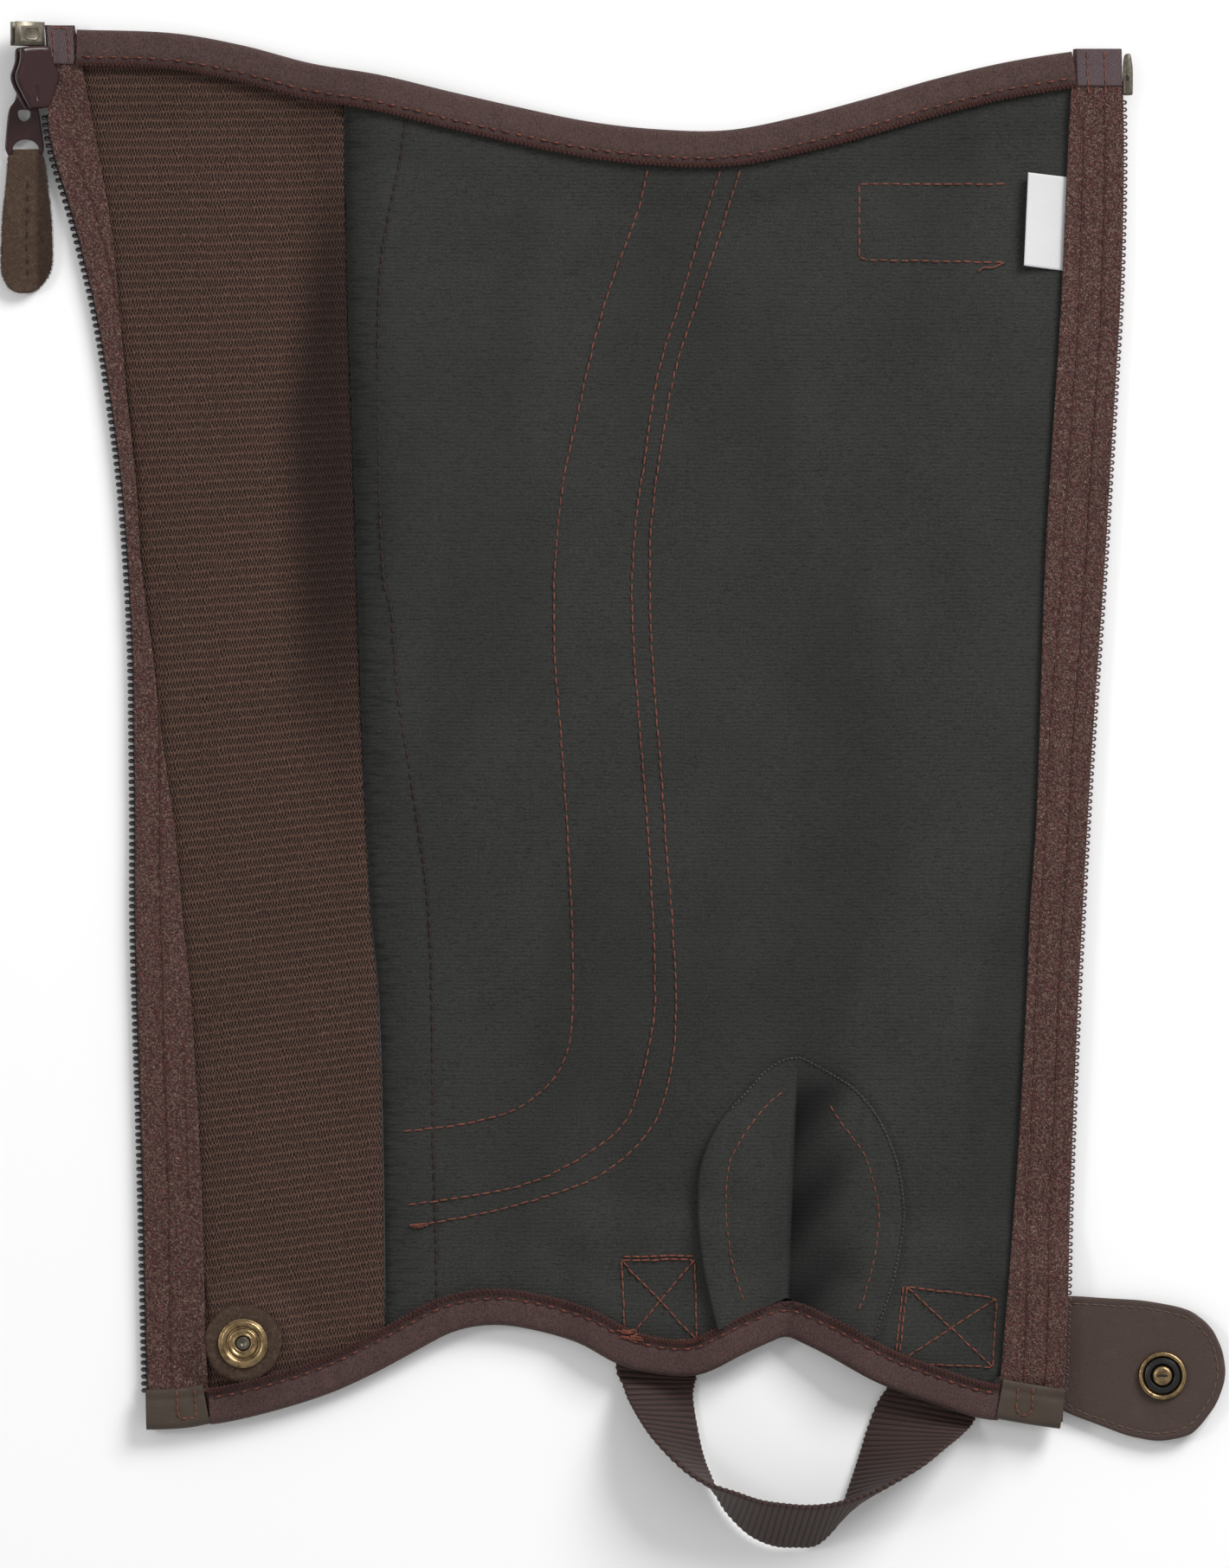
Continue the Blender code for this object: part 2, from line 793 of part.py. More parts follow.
# Pin at the top of the right tape.
pin_bm = bmesh.new()
bmesh.ops.create_cone(
    pin_bm,
    cap_ends=True,
    segments=10,
    radius1=1.15 * MM,
    radius2=1.15 * MM,
    depth=9.6 * MM,
)
zip_pin = add_object("zip_pin", pin_bm, nickel, parts)
zip_pin.location = Vector((118.95, 164.1, 4.3)) * MM
zip_pin.rotation_euler = (math.radians(90.0), 0.0, 0.0)


# Gusset patch, pleated on the crease.
GUSSET_COLUMNS = (-1.0, -0.83, -0.66, -0.48, -0.31, -0.155, 0.0, 0.135, 0.27, 0.41, 0.57, 0.78, 1.0)


def gusset_place(column, row):
    edge = follow(GUSSET, row, 1 if column < 0.0 else 3)
    x = lerp(follow(GUSSET, row, 2), edge, abs(column))
    y = max(row, hem_edge(x) + 0.98 * BINDING_LEG + 1.0)
    return x, y, ground(x, y) + MAIN_THICK + GAP + 0.1


GUSSET_ROWS = (-121.0, -116.0, -111.5, -107.0, -102.5, -98.0, -93.0, -88.0, -83.0, -78.0)
GUSSET_ROWS += (-74.0, -70.0, -67.5, -65.3, -63.1)
gusset, gusset_under = cloth(
    "gusset_patch", GUSSET_COLUMNS, GUSSET_ROWS, gusset_place, PATCH_THICK, lining, parts
)
gusset_under.free()


# Care label, its free edge curling up.
def label_place(column, row):
    low_y = lerp(119.9, 118.7, column)
    high_y = lerp(141.5, 140.4, column)
    y = lerp(low_y, high_y, row)
    held = follow(LENGTHWAYS, y, 4) - GAP
    x = lerp(lerp(94.9, 95.9, row), held, column)
    z = ground(x, y) + MAIN_THICK + GAP + 0.1 + 1.8 * (1.0 - column) ** 2
    return x, y, z


care_label, label_under = cloth(
    "care_label",
    (0.0, 0.25, 0.5, 0.75, 1.0),
    (0.0, 0.2, 0.4, 0.6, 0.8, 1.0),
    label_place,
    LABEL_THICK,
    label_cloth,
    parts,
)
label_under.free()


# Foot strap: one length of webbing, standing on its thin selvedge where it crosses the instep.
def strap_rings():
    middles = []
    for px, py, pz, qx, qy in STRAP:
        high = Vector((px, py, pz))
        low = Vector((qx, qy, 0.5 * STRAP_THICK))
        middles.append((high, low))
    rings = []
    for i, (high, low) in enumerate(middles):
        before = middles[max(i - 1, 0)]
        after = middles[min(i + 1, len(middles) - 1)]
        run = (after[0] + after[1] - before[0] - before[1]).normalized()
        across = low - high
        face = across.cross(run).normalized()
        if face.z < -0.2:
            face.negate()
        rings.append((high, low, face))
    for i in range(1, len(rings)):
        if rings[i][2].dot(rings[i - 1][2]) < 0.0:
            rings[i][2].negate()
    half = 0.5 * STRAP_THICK
    section = (
        (0.0, 0.5),
        (0.05, 1.0),
        (0.95, 1.0),
        (1.0, 0.5),
        (1.0, -0.5),
        (0.95, -1.0),
        (0.05, -1.0),
        (0.0, -0.5),
    )
    out = []
    for high, low, face in rings:
        ring = [high.lerp(low, share) + face * half * side for share, side in section]
        out.append([(p.x, p.y, max(0.0, p.z)) for p in ring])
    return out


foot_strap = loft("foot_strap", strap_rings(), webbing, parts)


# Snap tab, its root under the right edge of the garment and its free end a little raised.
TAB_ROOT = (95.0, -130.0, 0.1)
tab_outline = [(x - TAB_ROOT[0], y - TAB_ROOT[1]) for x, y in TAB]
snap_tab = slab("snap_tab", [tab_outline], TAB_THICK, leather, parts, bevel=0.25)
snap_tab.location = Vector((TAB_ROOT[0], TAB_ROOT[1], TAB_ROOT[2] + 0.5 * TAB_THICK)) * MM
snap_tab.rotation_euler = (0.0, math.radians(-TAB_RISE), 0.0)


def on_tab(obj, height):
    """Sets a round part over the socket's place, its zero this far above the tab's middle."""
    along = SOCKET_PLACE[0] - TAB_ROOT[0]
    rise = math.tan(math.radians(TAB_RISE))
    z = TAB_ROOT[2] + 0.5 * TAB_THICK + along * rise + height
    obj.location = Vector((SOCKET_PLACE[0], SOCKET_PLACE[1], z)) * MM
    obj.rotation_euler = (0.0, math.radians(-TAB_RISE), 0.0)


half_tab = 0.5 * TAB_THICK
socket_ring = turned(
    "socket_ring",
    ((4.35, 1.1), (5.2, 1.1), (5.65, 0.7), (5.65, 0.0), (4.35, 0.0)),
    True,
    28,
    brass,
    parts,
)
on_tab(socket_ring, half_tab + GAP)
socket_insert = turned(
    "socket_insert", ((0.0, 0.6), (4.05, 0.6), (4.05, 0.0), (0.0, 0.0)), False, 28, black_plastic, parts
)
on_tab(socket_insert, half_tab + GAP)
socket_stud = turned(
    "socket_stud", ((0.0, 1.2), (1.9, 1.2), (2.3, 0.8), (2.3, 0.0), (0.0, 0.0)), False, 20, brass, parts
)
on_tab(socket_stud, half_tab + GAP + 0.6 + GAP)
socket_cap = turned(
    "socket_cap", ((0.0, 0.75), (4.6, 0.75), (4.6, 0.2), (4.2, 0.0), (0.0, 0.0)), False, 24, brass, parts
)
on_tab(socket_cap, -half_tab - GAP - 0.75)


# Snap on the elastic panel: suede washer and brass ring above, stud below.
snap_ground = 3.2
washer_low = snap_ground + ELASTIC_THICK + GAP
snap_washer = turned(
    "snap_washer",
    ((3.4, 1.4), (7.9, 1.4), (8.3, 1.0), (8.3, 0.0), (3.4, 0.0)),
    True,
    32,
    suede,
    parts,
)
snap_washer.location = Vector((*SNAP_PLACE, washer_low)) * MM
snap_ring = turned(
    "snap_ring",
    ((1.75, 0.9), (2.4, 0.9), (3.1, 0.55), (3.8, 1.0), (5.2, 1.0), (5.75, 0.6), (5.75, 0.0), (1.75, 0.0)),
    True,
    28,
    brass,
    parts,
)
snap_ring.location = Vector((*SNAP_PLACE, washer_low + 1.4 + GAP)) * MM
snap_stud = turned(
    "snap_stud",
    ((1.75, 2.3), (5.2, 2.3), (5.4, 2.1), (5.4, 1.7), (3.6, 1.4), (3.6, 0.3), (3.2, 0.0), (1.75, 0.0)),
    True,
    28,
    brass,
    parts,
)
snap_stud.location = Vector((*SNAP_PLACE, 0.05)) * MM


# Slider: two plates with turned-in lips, a web between them at the upper end, and the bridge
# that holds the pull. It is rolled with its left side up.
SLIDER_HALF = 2.3
PLATE = 1.0
LIP = 0.6


def slider_frame():
    turn = Matrix.Rotation(math.radians(SLIDER_TURN), 4, "Z")
    roll = Matrix.Rotation(math.radians(SLIDER_ROLL), 4, "Y")
    return Matrix.Translation(Vector(SLIDER_CENTRE) * MM) @ turn @ roll


def tray(name, side, collection):
    """One plate of the slider; side is +1 above the zip's plane and -1 below it."""
    rings = []
    for along, half in SLIDER_PLATE:
        inner = half - 0.8
        section = (
            (-half, SLIDER_HALF),
            (half, SLIDER_HALF),
            (half, SLIDER_HALF - PLATE - LIP),
            (inner, SLIDER_HALF - PLATE - LIP),
            (inner, SLIDER_HALF - PLATE),
            (-inner, SLIDER_HALF - PLATE),
            (-inner, SLIDER_HALF - PLATE - LIP),
            (-half, SLIDER_HALF - PLATE - LIP),
        )
        rings.append([(x, along, side * z) for x, z in section])
    return loft(name, rings, painted, collection)


slider = tray("slider", 1.0, parts)
lower_plate = tray("slider_lower_plate", -1.0, cutters)
web = block("slider_web", (-0.9, -1.0, -1.6), (0.9, 6.0, 1.6), painted, cutters)
for piece in (slider, lower_plate, web):
    piece.matrix_world = slider_frame()
bridge_section = (
    (158.2, 5.5),
    (158.2, 0.9),
    (158.8, 0.3),
    (168.0, 0.3),
    (168.6, 0.9),
    (168.6, 5.5),
    (167.4, 5.5),
    (167.4, 1.4),
    (159.4, 1.4),
    (159.4, 5.5),
)
bridge_rings = [
    [(PULL_PIVOT[0] + side * 0.6, y, z) for y, z in bridge_section] for side in (-1.0, 1.0)
]
bridge = loft("slider_bridge", bridge_rings, painted, cutters)
for piece in (web, lower_plate, bridge):
    piece.display_type = "WIRE"
    boolean(slider, piece, "UNION")


# Retainer box on the end of the left tape: a channel open on its left.
BOX_HALF_WIDTH = 3.3
BOX_HALF = 1.9
box_section = (
    (-BOX_HALF_WIDTH, BOX_HALF),
    (BOX_HALF_WIDTH - 0.4, BOX_HALF),
    (BOX_HALF_WIDTH, BOX_HALF - 0.4),
    (BOX_HALF_WIDTH, -BOX_HALF + 0.4),
    (BOX_HALF_WIDTH - 0.4, -BOX_HALF),
    (-BOX_HALF_WIDTH, -BOX_HALF),
    (-BOX_HALF_WIDTH, -BOX_HALF + 1.0),
    (BOX_HALF_WIDTH - 1.2, -BOX_HALF + 1.0),
    (BOX_HALF_WIDTH - 1.2, BOX_HALF - 1.0),
    (-BOX_HALF_WIDTH, BOX_HALF - 1.0),
)
box_rings = [[(x, along, z) for x, z in box_section] for along in (-2.6, 2.6)]
retainer_box = loft("retainer_box", box_rings, nickel, parts)
retainer_box.matrix_world = (
    Matrix.Translation(Vector((-135.2, 173.5, 6.6)) * MM)
    @ Matrix.Rotation(math.radians(SLIDER_ROLL), 4, "Y")
)


# Pull: a link on the slider's bridge and the suede strip folded through it. Both turn about
# the bridge, across the garment.
pull_pivot = bpy.data.objects.new("pull_pivot", None)
parts.objects.link(pull_pivot)
pull_pivot.location = Vector(PULL_PIVOT) * MM

pull_link = slab(
    "pull_link", [PULL_LINK, LINK_EYE, LINK_MIDDLE_HOLE, LINK_LOWER_HOLE], 1.2, painted, parts, bevel=0.2
)
pull_link.parent = pull_pivot
pull_link.rotation_euler = (math.radians(PULL_DROOP), 0.0, 0.0)


def puller_rings():
    rings = []
    for y, left, right in PULLER:
        rings.append(
            [
                (left, y, 0.6),
                (left + 0.6, y, 0.0),
                (right - 0.6, y, 0.0),
                (right, y, 0.6),
                (right, y, 2.4),
                (right - 0.6, y, 3.0),
                (left + 0.6, y, 3.0),
                (left, y, 2.4),
            ]
        )
    return rings


suede_puller = loft("suede_puller", puller_rings(), suede, parts)
puller_loop = block("puller_loop", (-138.6, 142.6, 0.05), (-133.2, 147.7, 2.95), suede, cutters)
loop_slot = block("loop_slot", (-145.0, 144.2, 0.5), (-127.0, 146.6, 2.45), suede, cutters)
for piece in (puller_loop, loop_slot):
    piece.display_type = "WIRE"
boolean(suede_puller, puller_loop, "UNION")
boolean(suede_puller, loop_slot, "DIFFERENCE")
suede_puller.parent = pull_pivot
suede_puller.matrix_parent_inverse = Matrix.Translation(-Vector(PULL_PIVOT) * MM)


# The whole garment is moved to stand centred over its origin.
shift = Vector(CENTRE_SHIFT) * MM
for obj in list(parts.objects) + list(cutters.objects):
    if obj.parent is None:
        obj.location = obj.location + shift
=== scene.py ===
"""The looks of one half chap, opened out flat with its lined inside face up.

Tables are in millimetres, measured on the flat garment, as in the part's source: X across, Y up
the leg and Z away from the surface it lies on. Meshes are placed in metres.
"""

import math

import bpy
import numpy as np
from mathutils import Matrix, Vector


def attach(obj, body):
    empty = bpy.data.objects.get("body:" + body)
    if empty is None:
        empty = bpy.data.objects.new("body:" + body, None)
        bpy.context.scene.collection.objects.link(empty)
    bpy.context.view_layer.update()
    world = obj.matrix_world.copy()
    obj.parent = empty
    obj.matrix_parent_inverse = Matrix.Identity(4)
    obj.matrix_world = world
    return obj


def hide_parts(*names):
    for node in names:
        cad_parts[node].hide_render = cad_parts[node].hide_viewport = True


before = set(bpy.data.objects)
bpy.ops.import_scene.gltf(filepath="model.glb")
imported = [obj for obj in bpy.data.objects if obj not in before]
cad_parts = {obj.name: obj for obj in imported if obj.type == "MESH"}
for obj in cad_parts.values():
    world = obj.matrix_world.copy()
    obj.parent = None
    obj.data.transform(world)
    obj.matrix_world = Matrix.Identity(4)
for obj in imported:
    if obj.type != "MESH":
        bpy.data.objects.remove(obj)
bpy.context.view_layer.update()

# The room: a pale floor under the garment, a wide soft light from the upper right that lies
# rather low, a small weak one from the left for the gloss, and a camera that looks straight down.
floor_paper = bpy.data.materials.new("floor_paper")
floor_paper.use_nodes = True
paper = floor_paper.node_tree.nodes["Principled BSDF"].inputs
paper["Base Color"].default_value = (0.93, 0.93, 0.93, 1.0)
paper["Roughness"].default_value = 0.9
paper["Specular IOR Level"].default_value = 0.1
FLOOR_REACH = 3.0
FLOOR_HEIGHT = -0.0004
floor_mesh = bpy.data.meshes.new("floor")
corners = ((-1, -1), (1, -1), (1, 1), (-1, 1))
corners = [(FLOOR_REACH * a, FLOOR_REACH * b, FLOOR_HEIGHT) for a, b in corners]
floor_mesh.from_pydata(corners, [], [(0, 1, 2, 3)])
floor_mesh.materials.append(floor_paper)
floor = bpy.data.objects.new("floor", floor_mesh)
bpy.context.scene.collection.objects.link(floor)

room_air = bpy.data.worlds.new("room_air")
room_air.use_nodes = True
air = room_air.node_tree.nodes["Background"].inputs
air["Color"].default_value = (1.0, 1.0, 1.0, 1.0)
air["Strength"].default_value = 0.55
bpy.context.scene.world = room_air
bpy.context.scene.view_settings.view_transform = "Standard"


def soft_light(name, place, size, power):
    """A square lamp that faces the garment's middle."""
    lamp = bpy.data.lights.new(name, "AREA")
    lamp.size = size
    lamp.energy = power
    holder = bpy.data.objects.new(name, lamp)
    holder.location = place
    holder.rotation_euler = (-Vector(place)).to_track_quat("-Z", "Y").to_euler()
    bpy.context.scene.collection.objects.link(holder)


soft_light("window_light", (1.0, 1.12, 1.1), 0.8, 29.0)
soft_light("fill_light", (-1.05, 0.2, 1.2), 0.35, 3.5)

eye = bpy.data.cameras.new("eye")
eye.lens = 298.0
eye.sensor_width = 36.0
eye.clip_end = 60.0
eye_holder = bpy.data.objects.new("eye", eye)
eye_holder.location = (0.00013, 0.00041, 3.005)
bpy.context.scene.collection.objects.link(eye_holder)
bpy.context.scene.camera = eye_holder


# The main panel: a laminate of smooth leather outside and a brushed knit lining inside, cut in
# one piece and lying face down. The seam to the elastic lifts it into a soft ridge on the left.
SHIFT = (-0.17, 0.31)

# y, then x of the left tape's outer and inner edge, of the seam, and of the right tape's inner
# and outer edge.
LENGTHWAYS = (
    (176, -131.4, -124.6, -62.1, 106.4, 117.5), (170, -131.0, -123.5, -62.1, 106.3, 117.5),
    (150, -130.1, -119.9, -62.1, 105.3, 118.1), (130, -124.5, -116.3, -61.8, 104.4, 117.9),
    (110, -119.6, -114.3, -61.4, 103.5, 117.2), (90, -116.2, -112.5, -60.7, 102.2, 116.0),
    (70, -113.6, -110.4, -60.0, 100.9, 114.8), (50, -112.0, -109.1, -59.4, 99.8, 113.6),
    (30, -111.0, -106.5, -58.8, 99.1, 112.2), (10, -110.7, -104.3, -58.1, 98.5, 110.8),
    (-10, -110.5, -101.5, -57.1, 97.7, 109.6), (-30, -110.5, -99.7, -56.1, 96.3, 108.5),
    (-50, -110.0, -97.7, -54.3, 95.5, 107.5), (-90, -108.8, -95.4, -53.2, 93.3, 105.9),
    (-130, -107.9, -94.1, -52.7, 90.1, 104.7), (-150, -107.3, -92.9, -52.6, 88.3, 103.7),
)
TOP_EDGE = (
    (-131.0, 174.6), (-122.7, 174.5), (-101.7, 173.7), (-85.7, 170.9), (-69.7, 166.7), (-53.7, 163.9),
    (-37.7, 160.1), (-21.7, 156.5), (-5.7, 153.3), (10.3, 151.5), (26.3, 151.3), (42.3, 154.3),
    (58.3, 158.5), (74.3, 163.1), (90.3, 166.9), (106.3, 169.5), (118.0, 170.7),
)
HEM_LEFT = (
    (-110.0, -148.6), (-95.1, -148.3), (-82.3, -145.9), (-66.3, -141.1), (-55.5, -136.3), (-46.5, -131.5),
    (-37.3, -126.7), (-29.7, -125.1), (-21.7, -125.5), (-8.1, -129.1), (0.9, -133.9), (10.3, -136.3),
    (20.1, -136.3), (30.3, -131.5), (39.9, -127.3),
)
HEM_RIGHT = ((39.9, -127.3), (48.7, -131.5), (62.1, -138.7), (82.3, -145.9), (87.7, -146.9), (110.0, -149.0))
NOTCH_X = 39.9
CREASE = ((176, 42.5), (-64, 42.5), (-80, 41.6), (-100, 40.5), (-128, 39.9))
SNAP_PLACE = (-85.5, -129.1)
WASHER_REST = 3.2


def circle(steps):
    """Even turns round a circle, in radians."""
    return np.linspace(0.0, 2.0 * np.pi, steps, endpoint=False)


def unit(vectors):
    """Directions of length 1."""
    return vectors / np.maximum(np.linalg.norm(vectors, axis=-1, keepdims=True), 1e-9)


def drawn(rows, column=1):
    """A smooth line through a table's rows, as a function that gives it at any place."""
    points = sorted((row[0], row[column]) for row in rows)
    xs = np.array([p[0] for p in points], float)
    ys = np.array([p[1] for p in points], float)
    slopes = np.zeros(len(xs))
    slopes[1:-1] = (ys[2:] - ys[:-2]) / (xs[2:] - xs[:-2])
    slopes[0] = (ys[1] - ys[0]) / (xs[1] - xs[0])
    slopes[-1] = (ys[-1] - ys[-2]) / (xs[-1] - xs[-2])
    at = np.linspace(xs[0], xs[-1], 2400)
    i = np.clip(np.searchsorted(xs, at, side="right") - 1, 0, len(xs) - 2)
    span = xs[i + 1] - xs[i]
    t = (at - xs[i]) / span
    held = (2 * t**3 - 3 * t**2 + 1) * ys[i] + (3 * t**2 - 2 * t**3) * ys[i + 1]
    held += span * ((t**3 - 2 * t**2 + t) * slopes[i] + (t**3 - t**2) * slopes[i + 1])
    return lambda place: np.interp(place, at, held)


left_outer, left_inner, seam_x, right_inner, right_outer = (drawn(LENGTHWAYS, k) for k in range(1, 6))
top_edge = drawn(TOP_EDGE)
hem_left = drawn(HEM_LEFT)
hem_right = drawn(HEM_RIGHT)
crease_x = drawn(CREASE)


def hem_edge(x):
    return np.where(x <= NOTCH_X, hem_left(x), hem_right(x))


def smooth(t):
    t = np.clip(t, 0.0, 1.0)
    return t * t * (3.0 - 2.0 * t)


def lerp(a, b, t):
    return a + (b - a) * t


def bump(distance, reach):
    """1 at no distance, falling softly to 0 at the reach."""
    return 0.5 + 0.5 * np.cos(np.pi * np.clip(np.abs(distance) / reach, 0.0, 1.0))


def lift(x, y):
    """Height of the panels' underside: what lies below them, and the soft ridges of the cloth."""
    # the folded bindings under the top edge and the hem, and the snap's foot
    seam = seam_x(y)
    top_zone = 1.0 - smooth((top_edge(x) - y - 10.0) / 11.0)
    hem_zone = 1.0 - smooth((y - hem_edge(x) - 10.5) / 11.0)
    hem_zone = hem_zone * smooth((x + 98.0) / 5.0) * (1.0 - smooth((x - 88.0) / 6.0))
    bound = 1.4 * np.maximum(top_zone, hem_zone)
    near_snap = np.hypot(x - SNAP_PLACE[0], y - SNAP_PLACE[1])
    bound = lerp(bound, WASHER_REST, 1.0 - smooth((near_snap - 8.0) / 8.0))

    # the foot strap's two ends and the root of the tab
    strap_left = smooth((x + 13.0) / 9.0) * (1.0 - smooth((x - 25.5) / 10.0))
    strap_left = strap_left * (1.0 - smooth((y + 105.0) / 10.0))
    strap_right = smooth((x - 49.0) / 9.5) * (1.0 - smooth((y + 109.0) / 10.0))
    strap_right = strap_right * (1.0 - smooth((x - 98.0) / 10.0))
    tab = smooth((x - 82.0) / 9.0) * (1.0 - smooth((y + 114.0) / 12.0))
    held = np.maximum(bound + 1.8 * np.maximum(strap_left, strap_right), 2.9 * tab)

    # the ridge beside the seam, the swell to its right and the pleat over the notch
    crest = seam + 9.0
    along = lerp(0.45, 1.0, smooth((164.0 - y) / 34.0)) * smooth((y + 64.0) / 110.0)
    ridge = 6.5 * along * bump(x - crest, np.where(x < crest, 23.0, 55.0))
    swell = 2.2 * bump(x - 76.0, 44.0) * smooth((y + 92.0) / 40.0) * smooth((140.0 - y) / 30.0)

    off = np.abs(x - crease_x(y))
    fold = np.where(off < 12.0, np.sin(0.5 * np.pi * off / 12.0), bump(off - 12.0, 20.0))
    pleat = 2.9 * fold * smooth((-52.0 - y) / 42.0)
    return held + ridge + swell + pleat


def made_piece(name, points, faces, looks, body="garment", face_look=None, marks=None):
    """A piece from points in millimetres and its faces, riding on a body, with smooth shading."""
    mesh = bpy.data.meshes.new(name)
    placed = np.array(points, float).reshape(-1, 3) + (*SHIFT, 0.0)
    mesh.from_pydata((placed * 0.001).tolist(), [], faces)
    for look in looks:
        mesh.materials.append(look)
    if face_look is not None:
        mesh.polygons.foreach_set("material_index", face_look)
    if marks is not None:
        layer = mesh.uv_layers.new(name="cloth_mm")
        corners = np.empty(len(mesh.loops), dtype=np.int64)
        mesh.loops.foreach_get("vertex_index", corners)
        layer.data.foreach_set("uv", np.array(marks, float).reshape(-1, 2)[corners].ravel())
    mesh.shade_smooth()
    mesh.validate()
    piece = bpy.data.objects.new(name, mesh)
    bpy.context.scene.collection.objects.link(piece)
    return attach(piece, body)


def grid_faces(across, down, start, flip):
    """Quads between the points of a grid that is across wide and down long."""
    a = (np.arange(down - 1)[:, None] * across + np.arange(across - 1)[None, :]).ravel() + start
    quads = np.stack([a, a + 1, a + across + 1, a + across], axis=1)
    return quads[:, ::-1] if flip else quads


def sewn_sheet(name, x, y, low, high, looks, marks=None):
    """A closed sheet on a grid of places, from its underside to its face. x, y, low and high are
    grids; looks are the finishes of its face and of its underside."""
    down, across = x.shape
    count = down * across
    points = np.concatenate([np.stack([x, y, z], axis=2).reshape(-1, 3) for z in (high, low)])
    handed = (x[0, -1] - x[0, 0]) * (y[-1, 0] - y[0, 0]) - (y[0, -1] - y[0, 0]) * (x[-1, 0] - x[0, 0])
    up = grid_faces(across, down, 0, handed < 0)
    under = grid_faces(across, down, count, handed > 0)
    ends = [np.arange(across), np.arange(1, down) * across + across - 1]
    ends += [(down - 1) * across + np.arange(across - 2, -1, -1), np.arange(down - 2, 0, -1) * across]
    rim = np.concatenate(ends)
    after = np.roll(rim, -1)
    edge = np.stack([rim, rim + count, after + count, after], axis=1)
    edge = edge[:, ::-1] if handed < 0 else edge
    faces = np.concatenate([up, edge, under]).tolist()
    face_look = np.zeros(len(faces), dtype=np.int32)
    face_look[len(up) + len(edge) :] = 1
    uv = np.stack([x, y], axis=2) if marks is None else marks
    return made_piece(name, points, faces, looks, "garment", face_look, np.stack([uv, uv]))


def hum(x, y, size, seed):
    """Soft unevenness from a few crossed waves, between about -1 and 1."""
    rng = np.random.default_rng(seed)
    total = np.zeros(np.broadcast(x, y).shape)
    for _ in range(7):
        turn = rng.uniform(0.0, 2.0 * np.pi)
        wave = size * rng.uniform(0.7, 1.6)
        phase = rng.uniform(0.0, 2.0 * np.pi)
        total += np.sin((x * np.cos(turn) + y * np.sin(turn)) * 2.0 * np.pi / wave + phase)
    return total / 3.4


def linear(colour):
    """Scene-linear channels of an 8-bit display colour."""
    c = np.array(colour, float) / 255.0
    return (*np.where(c <= 0.04045, c / 12.92, ((c + 0.055) / 1.055) ** 2.4).tolist(), 1.0)


def fill(socket, value):
    """Gives a node's socket its value: a constant, or what another node puts out."""
    if isinstance(value, bpy.types.NodeSocket):
        socket.id_data.links.new(value, socket)
    else:
        socket.default_value = value


def put(tree, kind, **given):
    """A node of this kind. What is given goes to its sockets or its settings, by name."""
    node = tree.nodes.new(kind)
    for name, value in given.items():
        plain = name.replace("_", " ")
        if name[:2] == "in" and name[2:].isdigit():
            fill(node.inputs[int(name[2:])], value)
        elif plain in node.inputs:
            fill(node.inputs[plain], value)
        else:
            setattr(node, name, value)
    return node


def maths(operation, first, second=0.0, third=0.0):
    """One step of arithmetic, in the material that its first socket is in."""
    known = next(value for value in (first, second, third) if isinstance(value, bpy.types.NodeSocket))
    node = put(known.id_data, "ShaderNodeMath", operation=operation, in0=first, in1=second, in2=third)
    return node.outputs[0]


def times(first, second):
    return maths("MULTIPLY", first, second)


def plus(first, second):
    return maths("ADD", first, second)


def less(first, second):
    return maths("SUBTRACT", first, second)


def times_plus(first, second, third):
    return maths("MULTIPLY_ADD", first, second, third)


def wave(angle, kind="COSINE"):
    """A wave that runs between 0 and 1."""
    return times_plus(maths(kind, angle), 0.5, 0.5)


def ramp(value, start, end, top=1.0, soft=False):
    """0 at the start, rising to the top at the end, evenly or softly."""
    node = put(value.id_data, "ShaderNodeMapRange", Value=value, in1=start, in2=end, in4=top)
    node.interpolation_type = "SMOOTHSTEP" if soft else "LINEAR"
    return node.outputs[0]


def noise(place, scale, detail, roughness=0.5, wanted="Fac"):
    settings = {"Scale": scale, "Detail": detail, "Roughness": roughness}
    return put(place.id_data, "ShaderNodeTexNoise", Vector=place, **settings).outputs[wanted]


def vector_step(operation, first, second):
    return put(first.id_data, "ShaderNodeVectorMath", operation=operation, in0=first, in1=second).outputs


def stretched(place, scales):
    return vector_step("MULTIPLY", place, scales)[0]


def parts(vector):
    return put(vector.id_data, "ShaderNodeSeparateXYZ", Vector=vector).outputs


def over(first, share, second):
    """One colour with a share of another laid over it. A row of three is a display colour."""
    node = put(share.id_data, "ShaderNodeMix", data_type="RGBA")
    for place, value in ((0, share), (6, first), (7, second)):
        fill(node.inputs[place], linear(value) if isinstance(value, tuple) else value)
    return node.outputs[2]


def finish_of(name, roughness, sheen=0.0, specular=0.5, metallic=0.0):
    """A new material, its shader and the place on the garment in millimetres."""
    look = bpy.data.materials.new(name)
    look.use_nodes = True
    shader = look.node_tree.nodes["Principled BSDF"]
    shader.inputs["Roughness"].default_value = roughness
    shader.inputs["Specular IOR Level"].default_value = specular
    shader.inputs["Metallic"].default_value = metallic
    shader.inputs["Sheen Weight"].default_value = sheen
    here = put(look.node_tree, "ShaderNodeTexCoord").outputs["Object"]
    place = put(look.node_tree, "ShaderNodeVectorMath", operation="SCALE", in0=here, Scale=1000.0).outputs[0]
    return look, shader, place


def dressed(shader, cloth, height, depth_mm):
    """Colour and fine relief for a shader, from a height of 0 to 1 that is this deep."""
    relief = put(shader.id_data, "ShaderNodeBump", Height=height, Distance=depth_mm * 0.001, Strength=1.0)
    fill(shader.inputs["Base Color"], cloth)
    fill(shader.inputs["Normal"], relief.outputs[0])


